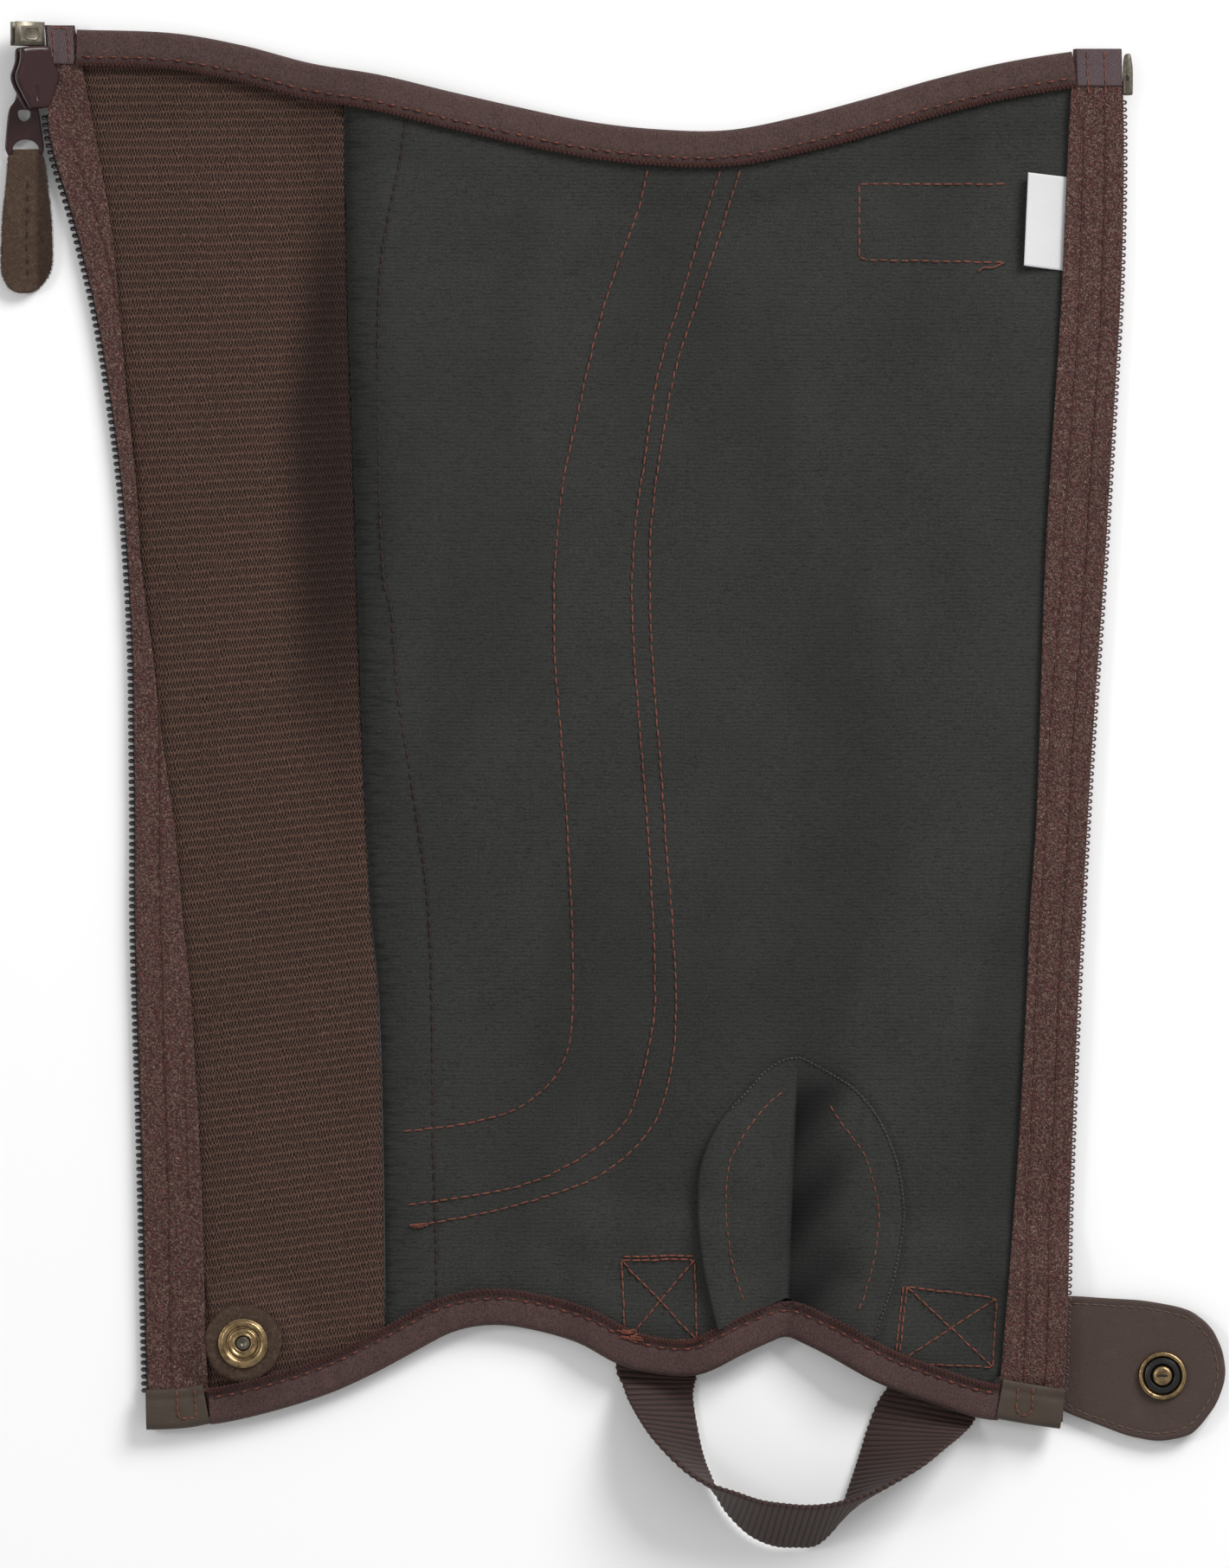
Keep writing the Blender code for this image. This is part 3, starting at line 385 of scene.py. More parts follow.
def effect(name, takes, gives):
    """An empty shader group with named inputs and outputs."""
    group = bpy.data.node_groups.new(name, "ShaderNodeTree")
    for label, kind, value in takes:
        socket = group.interface.new_socket(name=label, in_out="INPUT", socket_type=kind)
        if value is not None:
            socket.default_value = value
    for label, kind in gives:
        group.interface.new_socket(name=label, in_out="OUTPUT", socket_type=kind)
    return group, group.nodes.new("NodeGroupInput").outputs, group.nodes.new("NodeGroupOutput").inputs


FLOAT, COLOUR, VECTOR = "NodeSocketFloat", "NodeSocketColor", "NodeSocketVector"

# The unevenness of dyed cloth: a slow drift and a fine fibre speckle about one colour.
cloth_mottle, taken, given = effect(
    "cloth_mottle",
    (
        ("Place", VECTOR, None),
        ("Colour", COLOUR, (0.05, 0.05, 0.05, 1.0)),
        ("Drift", FLOAT, 0.15),
        ("Speckle", FLOAT, 0.3),
        ("Fibre mm", FLOAT, 0.35),
    ),
    (("Colour", COLOUR), ("Fibres", FLOAT)),
)
slow = noise(taken["Place"], 0.035, 4.0, 0.6)
fine = noise(taken["Place"], maths("DIVIDE", 1.0, taken["Fibre mm"]), 3.0, 0.7)
shade = plus(times(less(slow, 0.5), taken["Drift"]), times(less(fine, 0.5), taken["Speckle"]))
shade = times(plus(shade, 0.5), 2.0)
dyed = put(cloth_mottle, "ShaderNodeVectorMath", operation="SCALE", in0=taken["Colour"], Scale=shade)
fill(given["Colour"], dyed.outputs[0])
fill(given["Fibres"], fine)


def dyed_cloth(place, colour, drift, speckle, fibre):
    """The cloth_mottle group placed in a material: its colour and its fibres."""
    colour = linear(colour) if isinstance(colour, tuple) else colour
    values = {"Place": place, "Colour": colour, "Drift": drift, "Speckle": speckle, "Fibre mm": fibre}
    return put(place.id_data, "ShaderNodeGroup", node_tree=cloth_mottle, **values).outputs


def plain_cloth(name, colour, roughness, sheen, specular, drift, speckle, fibre, depth_mm):
    """A thread, a film or a plain plastic: one dyed colour with its fibres as relief."""
    look, shader, place = finish_of(name, roughness, sheen, specular)
    cloth, fibres = dyed_cloth(place, colour, drift, speckle, fibre)
    dressed(shader, cloth, fibres, depth_mm)
    return look


# The lining's own finish: grey-brown brushed knit with fine wavering courses. Its tone is partly
# painted shade: along the long folds, beside the seam and in its puckers, and behind the pleat.
COURSE_PITCH = 0.95
lining_look, shader, place = finish_of("brushed_lining", 0.95, sheen=0.06, specular=0.1)
across, up, _ = parts(place)
row_phase = plus(times(up, 2.0 * math.pi / COURSE_PITCH), times(noise(place, 0.35, 2.0), 7.0))
course = wave(row_phase, "SINE")
broken = noise(stretched(place, (0.55, 2.3, 1.0)), 1.0, 3.0, 0.65)
cloth, fibres = dyed_cloth(place, (51, 51, 49), drift=0.25, speckle=0.95, fibre=0.4)
dashes = times(maths("GREATER_THAN", broken, 0.56), maths("POWER", course, 3.0))
cloth = over(cloth, times(dashes, 0.6), (26, 26, 25))
# painted shade of the long soft folds, in broad darker bands
long_fold_shade = ramp(noise(stretched(place, (0.03, 0.009, 0.0)), 1.0, 1.0, 0.4), 0.46, 0.62, soft=True)
cloth = over(cloth, times(long_fold_shade, 0.2), (30, 33, 34))
SEAM_SLANT = 0.036
SEAM_AT = 56.6
# painted shade beside the seam, and painted shade in the puckers there
from_seam = times_plus(up, SEAM_SLANT, plus(across, SEAM_AT))
seam_shade = ramp(from_seam, 11.0, -1.0, soft=True)
pucker_shade = noise(stretched(place, (0.16, 0.85, 0.0)), 1.0, 2.0, 0.5)
pucker_shade = times(ramp(pucker_shade, 0.5, 0.64), seam_shade)
cloth = over(cloth, times_plus(pucker_shade, 0.4, times(seam_shade, 0.28)), (20, 21, 20))
# painted shade behind the pleat, and painted shade in the diagonal folds to its right
from_pleat = times_plus(up, -0.0385, less(across, 44.93))
behind = times(ramp(from_pleat, -0.3, 0.2), ramp(up, -63.5, -71.0))
near = ramp(from_pleat, 13.0, 0.0)
folds = wave(times(less(less(across, up), 141.0), 0.29))
folds = times(folds, ramp(from_pleat, 19.0, 9.0))
cloth = over(cloth, times(behind, times_plus(folds, 0.42, times(near, 0.55))), (17, 18, 18))
dressed(shader, cloth, plus(times(course, 0.35), times(fibres, 0.65)), 0.16)

# The leather of the outer side, which is under the garment as it lies.
outer_leather, shader, place = finish_of("outer_leather", 0.55, specular=0.4)
cloth, _ = dyed_cloth(place, (58, 46, 41), drift=0.2, speckle=0.12, fibre=0.8)
pores = put(place.id_data, "ShaderNodeTexVoronoi", Vector=place, Scale=0.9, feature="F1").outputs["Distance"]
dressed(shader, cloth, pores, 0.12)


HEM_MARGIN = 1.75


def main_bottom(x):
    """The lower edge, inside the binding's fold and cut up where the end cap takes its place."""
    corner = lerp(-143.0, -134.8, smooth((x - 80.5) / 12.5))
    edge = hem_edge(x) + HEM_MARGIN
    return np.where(x > 80.0, np.maximum(edge, corner), edge)


def main_top(x):
    return top_edge(x) - 1.6


def shares(columns, rows):
    """Even shares from 0 to 1, across and down a grid."""
    return np.meshgrid(np.linspace(0.0, 1.0, columns), np.linspace(0.0, 1.0, rows))


def laid_grid(left, right, low, high, columns, rows):
    """Places on a grid between two lengthways lines and two crossing edges."""
    column, row = shares(columns, rows)
    x = np.zeros(column.shape)
    for _ in range(8):
        y = lerp(low(x), high(x), row)
        x = lerp(left(y), right(y), column)
    return x, y


MAIN_THICK = 2.0
SEAM_GAP = 0.15
TAPE_COVER = 5.0
main_left = lambda y: seam_x(y) + SEAM_GAP
main_right = lambda y: right_outer(y) - TAPE_COVER
x, y = laid_grid(main_left, main_right, main_bottom, main_top, 96, 176)
soft = 0.16 * hum(x, y, 26.0, 4) + 0.07 * hum(x, y, 9.0, 5)
within = smooth((y - hem_edge(x) - 11.0) / 8.0) * smooth((top_edge(x) - y - 11.0) / 8.0)
within = within * smooth((x - seam_x(y) - 1.0) / 5.0) * smooth((right_inner(y) - x - 2.0) / 6.0)
low = lift(x, y)
edge_dip = 0.9 * np.exp(-((x - seam_x(y)) / 0.8) ** 2)
high = low + MAIN_THICK + soft * within - edge_dip
main_lining = sewn_sheet("main_lining", x, y, low, high, (lining_look, outer_leather))
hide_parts("main_panel")

# The elastic panel: a wide woven elastic whose crosswise rubber cords stand up as ribs every
# two millimetres. It is butted to the lining at the seam, and its ribs sag to the left lower down.
ELASTIC_THICK = 1.5
RIB_PITCH = 2.0


def elastic_left_x(y):
    outer = left_outer(y)
    covered = left_inner(y) - outer - 1.0
    return np.maximum(outer + np.minimum(5.0, np.maximum(1.9, covered)), -125.6)


def elastic_bottom(x):
    corner = lerp(-135.2, -143.6, smooth((x + 94.8) / 2.6))
    edge = hem_edge(x) + 1.6
    return np.where(x < -83.6, np.maximum(edge, corner), edge)


def along_leg(x, y):
    """How far up the leg a place is, counted along the elastic's own slanting rows."""
    slant = np.interp(y, (-150.0, -60.0, 0.0, 40.0, 110.0, 176.0), (8.5, 8.0, 6.5, 4.5, 2.0, 0.0))
    return y - np.tan(np.radians(slant)) * (x - seam_x(y))


# Woven ribs: how high a place stands on its rib, the small threads over it, and slits between
# them in two rows to a rib, each row set half a thread from the next.
woven_ribs, taken, given = effect(
    "woven_ribs",
    (
        ("Across", FLOAT, 0.0),
        ("Along", FLOAT, 0.0),
        ("Place", VECTOR, None),
        ("Rib mm", FLOAT, 2.0),
        ("Thread mm", FLOAT, 0.5),
        ("Waver mm", FLOAT, 0.15),
    ),
    (("Rib", FLOAT), ("Threads", FLOAT), ("Dots", FLOAT)),
)
drift = times(less(noise(taken["Place"], 0.4, 2.0), 0.5), taken["Waver mm"])
rib_count = maths("DIVIDE", plus(taken["Along"], drift), taken["Rib mm"])
thread_count = maths("DIVIDE", plus(taken["Across"], drift), taken["Thread mm"])
thread_turns = times(thread_count, 2.0 * math.pi)
odd_row = maths("FLOORED_MODULO", maths("FLOOR", times(rib_count, 2.0)), 2.0)
fill(given["Rib"], wave(times(rib_count, 2.0 * math.pi)))
fill(given["Threads"], wave(thread_turns))
fill(given["Dots"], wave(times_plus(odd_row, math.pi, thread_turns)))


def with_ribs(place, rib, thread, waver):
    """The woven_ribs group placed in a material whose mesh carries its own cloth_mm places."""
    own = parts(put(place.id_data, "ShaderNodeUVMap", uv_map="cloth_mm").outputs[0])
    values = {"Across": own["X"], "Along": own["Y"], "Place": place}
    values.update({"Rib mm": rib, "Thread mm": thread, "Waver mm": waver})
    return put(place.id_data, "ShaderNodeGroup", node_tree=woven_ribs, **values).outputs, own


elastic_look, shader, place = finish_of("ribbed_elastic", 0.85, sheen=0.06, specular=0.12)
weave, _ = with_ribs(place, RIB_PITCH, 0.68, 0.9)
cloth, fibres = dyed_cloth(place, (93, 70, 60), drift=0.16, speckle=1.5, fibre=0.35)
tufts = less(noise(place, 2.1, 2.0, 0.6), 0.5)
below_crest = ramp(times_plus(tufts, -0.9, weave["Rib"]), 0.98, 0.66)
slits = times(ramp(times_plus(tufts, 0.8, weave["Dots"]), 0.2, 0.62), below_crest)
beads = times(less(1.0, weave["Threads"]), less(1.0, below_crest))
cloth = over(cloth, times(beads, 0.75), (40, 26, 22))
cloth = over(cloth, times(below_crest, 0.1), (54, 36, 31))
cloth = over(cloth, times(slits, 0.94), (26, 16, 14))
# painted shade in the hollow beside the seam, darkest at the seam and fading away from it
across, up, _ = parts(place)
from_seam = times_plus(up, SEAM_SLANT, plus(across, SEAM_AT))
hollow_shade = ramp(plus(from_seam, ramp(up, 150.0, 85.0, 12.0)), -9.0, 1.0, soft=True)
hollow_shade = times(hollow_shade, times(ramp(up, -12.0, 52.0, soft=True), ramp(up, 160.0, 108.0, soft=True)))
cloth = over(cloth, times(hollow_shade, 0.66), (22, 14, 13))
dressed(shader, cloth, times_plus(slits, -0.6, times_plus(fibres, 0.3, 0.6)), 0.25)

x, y = laid_grid(elastic_left_x, lambda y: seam_x(y) - SEAM_GAP, elastic_bottom, main_top, 30, 951)
row_at = along_leg(x, y)
rib = 0.5 + 0.5 * np.cos(2.0 * np.pi * row_at / RIB_PITCH)
within = smooth((y - hem_edge(x) - 9.5) / 2.5) * smooth((top_edge(x) - y - 9.5) / 2.5)
within = within * smooth((x - left_inner(y) + 0.5) / 1.5)
low = lift(x, y)
high = low + ELASTIC_THICK - 0.1 + within * (0.12 * rib + 0.04 + 0.09 * hum(x, y, 17.0, 9))
high -= 0.6 * np.exp(-((x - seam_x(y)) / 0.9) ** 2)
elastic_marks = np.stack([x, row_at], axis=2)
elastic_rib = sewn_sheet("elastic_rib", x, y, low, high, (elastic_look, outer_leather), elastic_marks)
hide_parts("elastic_panel")

# The sewing on the lining: rust-red bonded thread in long lockstitches, put in before the
# garment was bound. It follows the leather pieces of the outer side.
SEWN_LINES = (
    # beside the elastic
    (
        (-47.9, 153.7), (-49.3, 143.3), (-51.3, 133.3), (-53.1, 123.3), (-53.9, 115.3), (-54.3, 97.3),
        (-54.1, 81.3), (-53.7, 61.3), (-52.7, 45.3), (-51.3, 41.3), (-49.7, 21.3), (-46.7, 1.3),
        (-43.7, -18.7), (-42.1, -38.7), (-41.7, -78.7), (-41.1, -98.7), (-40.7, -118.7),
    ),
    # the single row of the shin piece
    (
        (7.9, 142.3), (5.9, 133.3), (-0.7, 115.3), (-4.7, 101.3), (-8.7, 83.3), (-11.7, 69.3), (-13.3, 53.3),
        (-13.7, 45.3), (-13.5, 29.3), (-12.1, 11.3), (-10.7, -8.7), (-9.7, -28.7), (-9.3, -42.7),
        (-9.7, -56.7), (-11.7, -64.7), (-16.7, -71.1), (-23.7, -75.7), (-35.7, -78.7), (-48.7, -80.3),
    ),
    # the double row beside it
    (
        (24.9, 142.3), (20.7, 129.3), (15.3, 111.3), (10.4, 95.3), (7.3, 75.3), (5.3, 61.3), (4.3, 45.3),
        (4.9, 29.3), (6.3, 11.3), (7.9, -8.7), (9.1, -28.7), (9.7, -44.7), (9.3, -54.7), (6.3, -68.7),
        (2.3, -78.7), (-9.7, -87.7), (-21.7, -92.9), (-33.7, -95.3), (-47.7, -97.3),
    ),
    (
        (29.3, 142.3), (25.3, 129.3), (19.3, 111.3), (14.7, 97.3), (11.3, 79.3), (8.9, 61.3), (8.5, 45.3),
        (9.3, 25.3), (10.9, 5.3), (12.3, -14.7), (13.9, -34.7), (14.5, -48.7), (13.9, -62.7), (10.3, -76.7),
        (4.3, -84.7), (-3.7, -90.7), (-13.7, -94.7), (-27.7, -98.7), (-45.7, -102.1),
    ),
)
SEWN_CORNERS = (
    # the strengthening patch at the top right
    ((90.7, 138.9), (56.9, 138.9), (56.9, 121.3), (90.3, 120.7)),
    # the boxes that hold the foot strap, and the crosses inside them
    ((1.9, -110.1), (18.9, -109.7), (19.3, -128.2), (2.7, -129.2), (1.9, -110.1)),
    ((1.9, -110.1), (19.3, -128.2)),
    ((18.9, -109.7), (2.7, -129.2)),
    ((2.2, -109.2), (18.7, -108.9)),
    ((67.9, -116.1), (88.7, -118.7), (87.7, -134.7), (65.9, -133.7), (67.9, -116.1)),
    ((67.9, -116.1), (87.7, -134.7)),
    ((88.7, -118.7), (65.9, -133.7)),
    ((67.0, -116.0), (65.1, -133.2)),
)


def way_along(path):
    """How far along a path each of its points is."""
    return np.concatenate([[0.0], np.cumsum(np.linalg.norm(np.diff(path, axis=0), axis=1))])


def walked(line, step, curved=True):
    """Points at even steps along a line, which is first rounded where it is curved."""
    line = np.array(line, float)
    if curved:
        parts_at = way_along(line)
        fine_at = np.linspace(0.0, parts_at[-1], 400)
        rows = [(at, *point) for at, point in zip(parts_at, line)]
        line = np.stack([drawn(rows, 1)(fine_at), drawn(rows, 2)(fine_at)], axis=1)
    parts_at = way_along(line)
    count = max(2, int(round(parts_at[-1] / step)) + 1)
    at = np.linspace(0.0, parts_at[-1], count)
    return np.stack([np.interp(at, parts_at, line[:, 0]), np.interp(at, parts_at, line[:, 1])], axis=1)


def tube_faces(rings, count, start=0):
    """A closed tube's faces: quads from ring to ring of its points, and its two ends."""
    a = np.arange(count)
    b = (a + 1) % count
    base = np.arange(rings - 1)[:, None] * count + start
    sides = np.stack([base + a, base + b, base + count + b, base + count + a], axis=2).reshape(-1, 4)
    last = start + (rings - 1) * count
    return sides.tolist() + [list(range(start + count - 1, start - 1, -1)), list(range(last, last + count))]


def thread_tubes(name, paths, radii, look, body="garment", sides=6):
    """Threads as round tubes. Each path is a run of points (x, y, z); all have the same count of
    points. radii gives the thickness at each point of a path."""
    paths = np.array(paths, float)
    count, long, _ = paths.shape
    run = unit(np.gradient(paths, axis=1))
    side = np.cross(run, (0.0, 0.0, 1.0))
    flat = np.linalg.norm(side, axis=2, keepdims=True)
    side = np.where(flat < 0.05, np.array([1.0, 0.0, 0.0]), side / np.maximum(flat, 1e-9))
    up = np.cross(side, run)
    turn = circle(sides)[None, None, :, None]
    radii = np.broadcast_to(np.array(radii, float), (count, long))[:, :, None, None]
    ring = side[:, :, None, :] * np.cos(turn) + up[:, :, None, :] * np.sin(turn)
    faces = []
    for k in range(count):
        faces += tube_faces(long, sides, k * long * sides)
    return made_piece(name, paths[:, :, None, :] + radii * ring, faces, (look,), body)


def lockstitches(lines, surface, length=1.95, pitch=2.45, bow=0.18, proud=0.05, seed=1, curved=True):
    """The paths of a row of stitches, each sunk at both ends and bowed up in the middle."""
    rng = np.random.default_rng(seed)
    paths = []
    share = np.array([0.0, 0.08, 0.28, 0.5, 0.72, 0.92, 1.0])
    rise = np.array([-0.55, 0.15, 0.85, 1.0, 0.85, 0.15, -0.55])
    for line in lines:
        stops = walked(line, pitch, curved)
        for here, there in zip(stops[:-1], stops[1:]):
            run = there - here
            keep = length / pitch * rng.uniform(0.95, 1.03)
            middle = 0.5 * (here + there) + rng.normal(0.0, 0.05, 2)
            lean = np.array([-run[1], run[0]]) * rng.normal(0.0, 0.025)
            points = middle[None] + (share[:, None] - 0.5) * (run * keep + lean)[None]
            z = surface(points[:, 0], points[:, 1]) + proud + bow * rise * rng.uniform(0.8, 1.15)
            paths.append(np.column_stack([points, z]))
    return paths


STITCH_RADII = np.array((0.09, 0.16, 0.2, 0.21, 0.2, 0.16, 0.09))


def lain_on(surface, height):
    """A surface that lies this high above another one."""
    return lambda x, y: surface(x, y) + height


def stitched(name, slot, lines, surface, look, thick=1.0, body="garment", **stitches):
    """Rows of lockstitches as one piece. Its slot is not used."""
    piece = thread_tubes(name, lockstitches(lines, surface, **stitches), thick * STITCH_RADII, look, body)
    return piece


lining_top = lain_on(lift, MAIN_THICK + 0.04)
rust_thread = plain_cloth(
    "rust_thread", (112, 63, 49), roughness=0.6, sheen=0.06, specular=0.25,
    drift=0.5, speckle=1.4, fibre=0.5, depth_mm=0.12,
)
dark_thread = plain_cloth(
    "dark_thread", (58, 46, 42), roughness=0.8, sheen=0.02, specular=0.1,
    drift=0.5, speckle=1.1, fibre=0.5, depth_mm=0.1,
)

sewn = lockstitches(SEWN_LINES[1:], lining_top, seed=11)
sewn += lockstitches(SEWN_CORNERS[:1], lining_top, seed=12, curved=False)
sewn += lockstitches(SEWN_CORNERS[1:], lining_top, pitch=2.2, seed=13, curved=False)
lining_stitches = thread_tubes("lining_stitches", sewn, STITCH_RADII, rust_thread)
stitched("edge_stitches", "lining", SEWN_LINES[:1], lining_top, dark_thread, proud=0.0, seed=10)

# The thread's loose end at the strengthening patch, and the heaped backtack of the double row.
loose = walked(((90.3, 120.7), (88.0, 119.6), (85.6, 119.5), (84.4, 118.6)), 0.5)
arch = 0.3 * np.sin(np.linspace(0, 3.1, len(loose)))
loose_end = np.column_stack([loose, lining_top(loose[:, 0], loose[:, 1]) + 0.35 + arch])
heap_draws = np.random.default_rng(5)


def heaped(place, count, spread, reaches, shift, points, surface, height, bow, lean=None):
    """Short threads heaped over one place, each a little higher than the one before it."""
    threads = []
    bowed = bow * np.sin(np.linspace(0, 3.1, points))
    for k in range(count):
        middle = np.array(place) + heap_draws.normal(0.0, spread)
        reach = heap_draws.uniform(*reaches)
        along = np.linspace(-reach, reach, points)
        xs = middle[0] + along
        ys = middle[1] + heap_draws.normal(0.0, shift)
        ys = ys + (heap_draws.normal(0.0, 0.25) if lean is None else lean) * along
        threads.append(np.column_stack([xs, ys, surface(xs, ys) + height + bowed + 0.05 * k]))
    return threads


heap = heaped(
    (-44.9, -101.9), 9, spread=(1.0, 0.35), reaches=(0.7, 1.3), shift=0.25, points=len(loose),
    surface=lining_top, height=0.25, bow=0.1, lean=0.1,
)
thread_ends = thread_tubes("thread_ends", [loose_end] + heap, 0.17, rust_thread)

# The gusset patch: a spade of the lining knit over the notch in the hem, sewn on along both
# sides and pleated down the middle, so that it stands in two soft lobes.
# y, then x of its left edge, of its middle and of its right edge
GUSSET = (
    (-63.1, 40.2, 42.5, 43.6), (-66.0, 35.4, 42.4, 49.2), (-70.0, 31.5, 42.2, 55.5),
    (-76.0, 26.2, 41.8, 60.8), (-83.0, 22.0, 41.4, 64.4), (-90.0, 19.9, 41.0, 66.5),
    (-100.0, 19.6, 40.5, 67.5), (-110.0, 20.6, 40.4, 66.0), (-116.0, 21.7, 40.3, 64.6),
    (-121.0, 22.9, 40.2, 63.0), (-128.0, 24.6, 40.0, 60.5),
)
GUSSET_SEAMS = (
    (
        (39.1, -70.9), (34.7, -74.9), (30.5, -80.5), (27.3, -86.1), (26.3, -90.9), (26.1, -99.9),
        (26.9, -107.1), (28.5, -114.3), (30.3, -119.4),
    ),
    (
        (49.9, -74.1), (53.9, -79.7), (57.9, -85.3), (59.9, -90.9), (61.3, -98.3), (61.1, -104.7),
        (59.9, -111.1), (57.9, -118.3), (56.6, -121.5),
    ),
)
PATCH_THICK = 1.2
BINDING_LEG = 8.4
patch_left, patch_middle, patch_right = (drawn(GUSSET, k) for k in (1, 2, 3))


def patch_relief(x, y):
    """The patch's own folds: it lifts at its left edge, and small creases run into the pleat."""
    down = smooth((-64.0 - y) / 22.0)
    from_pleat = x - patch_middle(y)
    left = 0.7 * bump(x - patch_left(y) - 1.0, 6.0) * down
    up_to_it, behind_it = 0.9 * np.exp(from_pleat / 4.5), -0.75 * np.exp(-from_pleat / 5.5)
    pleat = np.where(from_pleat < 0.0, up_to_it, behind_it) * down
    slanted = (y + 92.0) * 0.7 - (x - 50.0) * 0.7
    creases = 0.75 * bump(slanted - 2.0, 5.0) * bump(x - 50.0, 12.0)
    creases += 0.65 * bump(slanted + 13.0, 4.5) * bump(x - 51.0, 11.0)
    held = 0.3 * bump(x - 26.8, 2.2) + 0.3 * bump(x - 60.6, 2.2)
    return left + creases + pleat - held * down


def patch_top(x, y):
    return lift(x, y) + MAIN_THICK + 0.4 + PATCH_THICK + patch_relief(x, y)


column, row = np.meshgrid(np.linspace(-1.0, 1.0, 61), np.linspace(-128.0, -63.1, 80))
edge = np.where(column < 0.0, patch_left(row), patch_right(row))
x = lerp(patch_middle(row), edge, np.abs(column))
y = np.maximum(row, hem_edge(x) + BINDING_LEG + 0.25 + 0.02 * (row + 128.0))
low = lift(x, y) + MAIN_THICK + 0.25
gusset_lining = sewn_sheet("gusset_lining", x, y, low, patch_top(x, y), (lining_look, lining_look))
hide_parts("gusset_patch")
short = {"length": 1.5, "pitch": 2.1, "bow": 0.15, "proud": 0.0, "seed": 21}
stitched("gusset_stitches", "lining", GUSSET_SEAMS, patch_top, rust_thread, 0.8, **short)
grey_thread = plain_cloth(
    "grey_thread", (66, 60, 57), roughness=0.7, sheen=0.05, specular=0.2,
    drift=1.0, speckle=1.5, fibre=0.5, depth_mm=0.05,
)
right_ys = np.linspace(-126.5, -63.3, 90)
left_ys = np.linspace(-63.3, -75.0, 20)
overlock_line = np.concatenate(
    [
        np.column_stack([patch_right(right_ys) - 0.35, right_ys]),
        np.column_stack([patch_left(left_ys) + 0.35, left_ys]),
    ]
)
beads = {"length": 0.55, "pitch": 1.0, "bow": 0.22, "seed": 23, "curved": False}
stitched("gusset_overlock", "lining", [overlock_line], patch_top, grey_thread, 1.1, **beads)

# The bindings: a satin-faced elastic tape, folded over the top edge and over the hem, with a
# lacy picot on its inner selvedge, and sewn through all layers just outside that.
BINDING_WALL = 1.0
BINDING_INNER = 3.0
BINDING_SEAM = 6.25

satin_tape, shader, place = finish_of("satin_tape", 0.7, sheen=0.08, specular=0.2)
weave, own = with_ribs(place, 0.45, 0.4, 1.2)
cloth, fibres = dyed_cloth(place, (73, 54, 51), drift=0.22, speckle=1.5, fibre=0.4)
cloth = over(cloth, times(ramp(own["X"], 6.2, 6.8), 0.62), (40, 22, 20))
cloth = over(cloth, times_plus(weave["Rib"], -0.3, 0.3), (40, 27, 26))
dressed(shader, cloth, times_plus(weave["Rib"], 0.4, times(fibres, 0.6)), 0.08)
maroon_thread = plain_cloth(
    "maroon_thread", (74, 44, 39), roughness=0.7, sheen=0.05, specular=0.15,
    drift=0.4, speckle=1.0, fibre=0.3, depth_mm=0.1,
)


def binding_floor(x, y):
    return np.maximum(0.0, lift(x, y) - 0.4 - BINDING_WALL)


def inward_of(path):
    """Which way is into the cloth along a path whose open side is on its left."""
    run = unit(np.gradient(path, axis=0))
    return np.stack([-run[:, 1], run[:, 0]], axis=1)


def sewn_at(path, depth):
    return path + inward_of(path) * depth


def fold_over(name, path, leg, inner, floor, look, pucker=0.1, seed=1):
    """A tape folded over an edge: a U in section, open on the left of the path's direction."""
    wall = BINDING_WALL
    inward = inward_of(path)
    way = way_along(path)
    top = inner + 2.0 * wall
    # its section, as depth into the cloth and height: the underside, the fold, the face, the inside
    section = [(leg, 0.0), (0.5 * leg, 0.0), (0.8, 0.0), (0.15, 0.45), (0.0, 1.1)]
    section += [(0.0, top - 1.1), (0.25, top - 0.45), (0.75, top - 0.08), (1.6, top + 0.02)]
    section += [(2.7, top), (3.9, top), (5.0, top), (leg - 2.9, top - 0.02), (leg - 2.3, top - 0.25)]
    section += [(leg - 1.9, top - 0.12), (leg - 1.0, top), (leg - 0.25, top - 0.02), (leg, top - 0.22)]
    section += [(leg, top - wall), (0.55 * leg, top - wall), (1.3, top - wall), (1.0, top - wall - 0.3)]
    section += [(1.0, wall + 0.3), (1.3, wall), (0.55 * leg, wall), (leg, wall)]
    depth, height = np.array(section).T
    px = path[:, :1] + inward[:, :1] * depth
    py = path[:, 1:] + inward[:, 1:] * depth
    along = way[:, None] + 0.0 * px
    on_top = smooth((height - top + 1.2) / 0.6) * smooth(depth / 1.5)
    z = floor(px, py) + height
    z = z + on_top * pucker * hum(along, 0.6 * depth + 0.0 * px, 5.0, seed)
    z = z + on_top * 0.015 * np.cos(2.0 * np.pi * way / 0.62)[:, None]
    across = np.where(height < top - wall - 0.01, np.minimum(depth, 5.5), depth) + 0.0 * px
    faces = tube_faces(len(path), len(section))
    marks = np.stack([across, along], axis=2)
    return made_piece(name, np.stack([px, py, z], axis=2), faces, (look,), marks=marks)


def picot_loops(name, path, leg, top_at, look, seed):
    """The lacy selvedge: small loops of thread that zigzag over the tape's inner edge."""
    rng = np.random.default_rng(seed)
    fine = walked(path, 0.5, curved=False)
    inward = inward_of(fine)
    paths = []
    for k in range(len(fine) - 1):
        near, far = (leg - 1.3, leg + 0.16) if k % 2 else (leg + 0.16, leg - 1.3)
        ends = np.array([fine[k] + inward[k] * near, fine[k + 1] + inward[k + 1] * far])
        share = np.linspace(0.0, 1.0, 5)[:, None]
        points = ends[0] * (1.0 - share) + ends[1] * share + rng.normal(0.0, 0.05, (5, 2))
        rise = np.array([0.02, 0.16, 0.2, 0.16, 0.02]) * rng.uniform(0.8, 1.3)
        z = top_at(points[:, 0], points[:, 1]) + rise
        paths.append(np.column_stack([points, z]))
    return thread_tubes(name, paths, 0.13, look, sides=5)


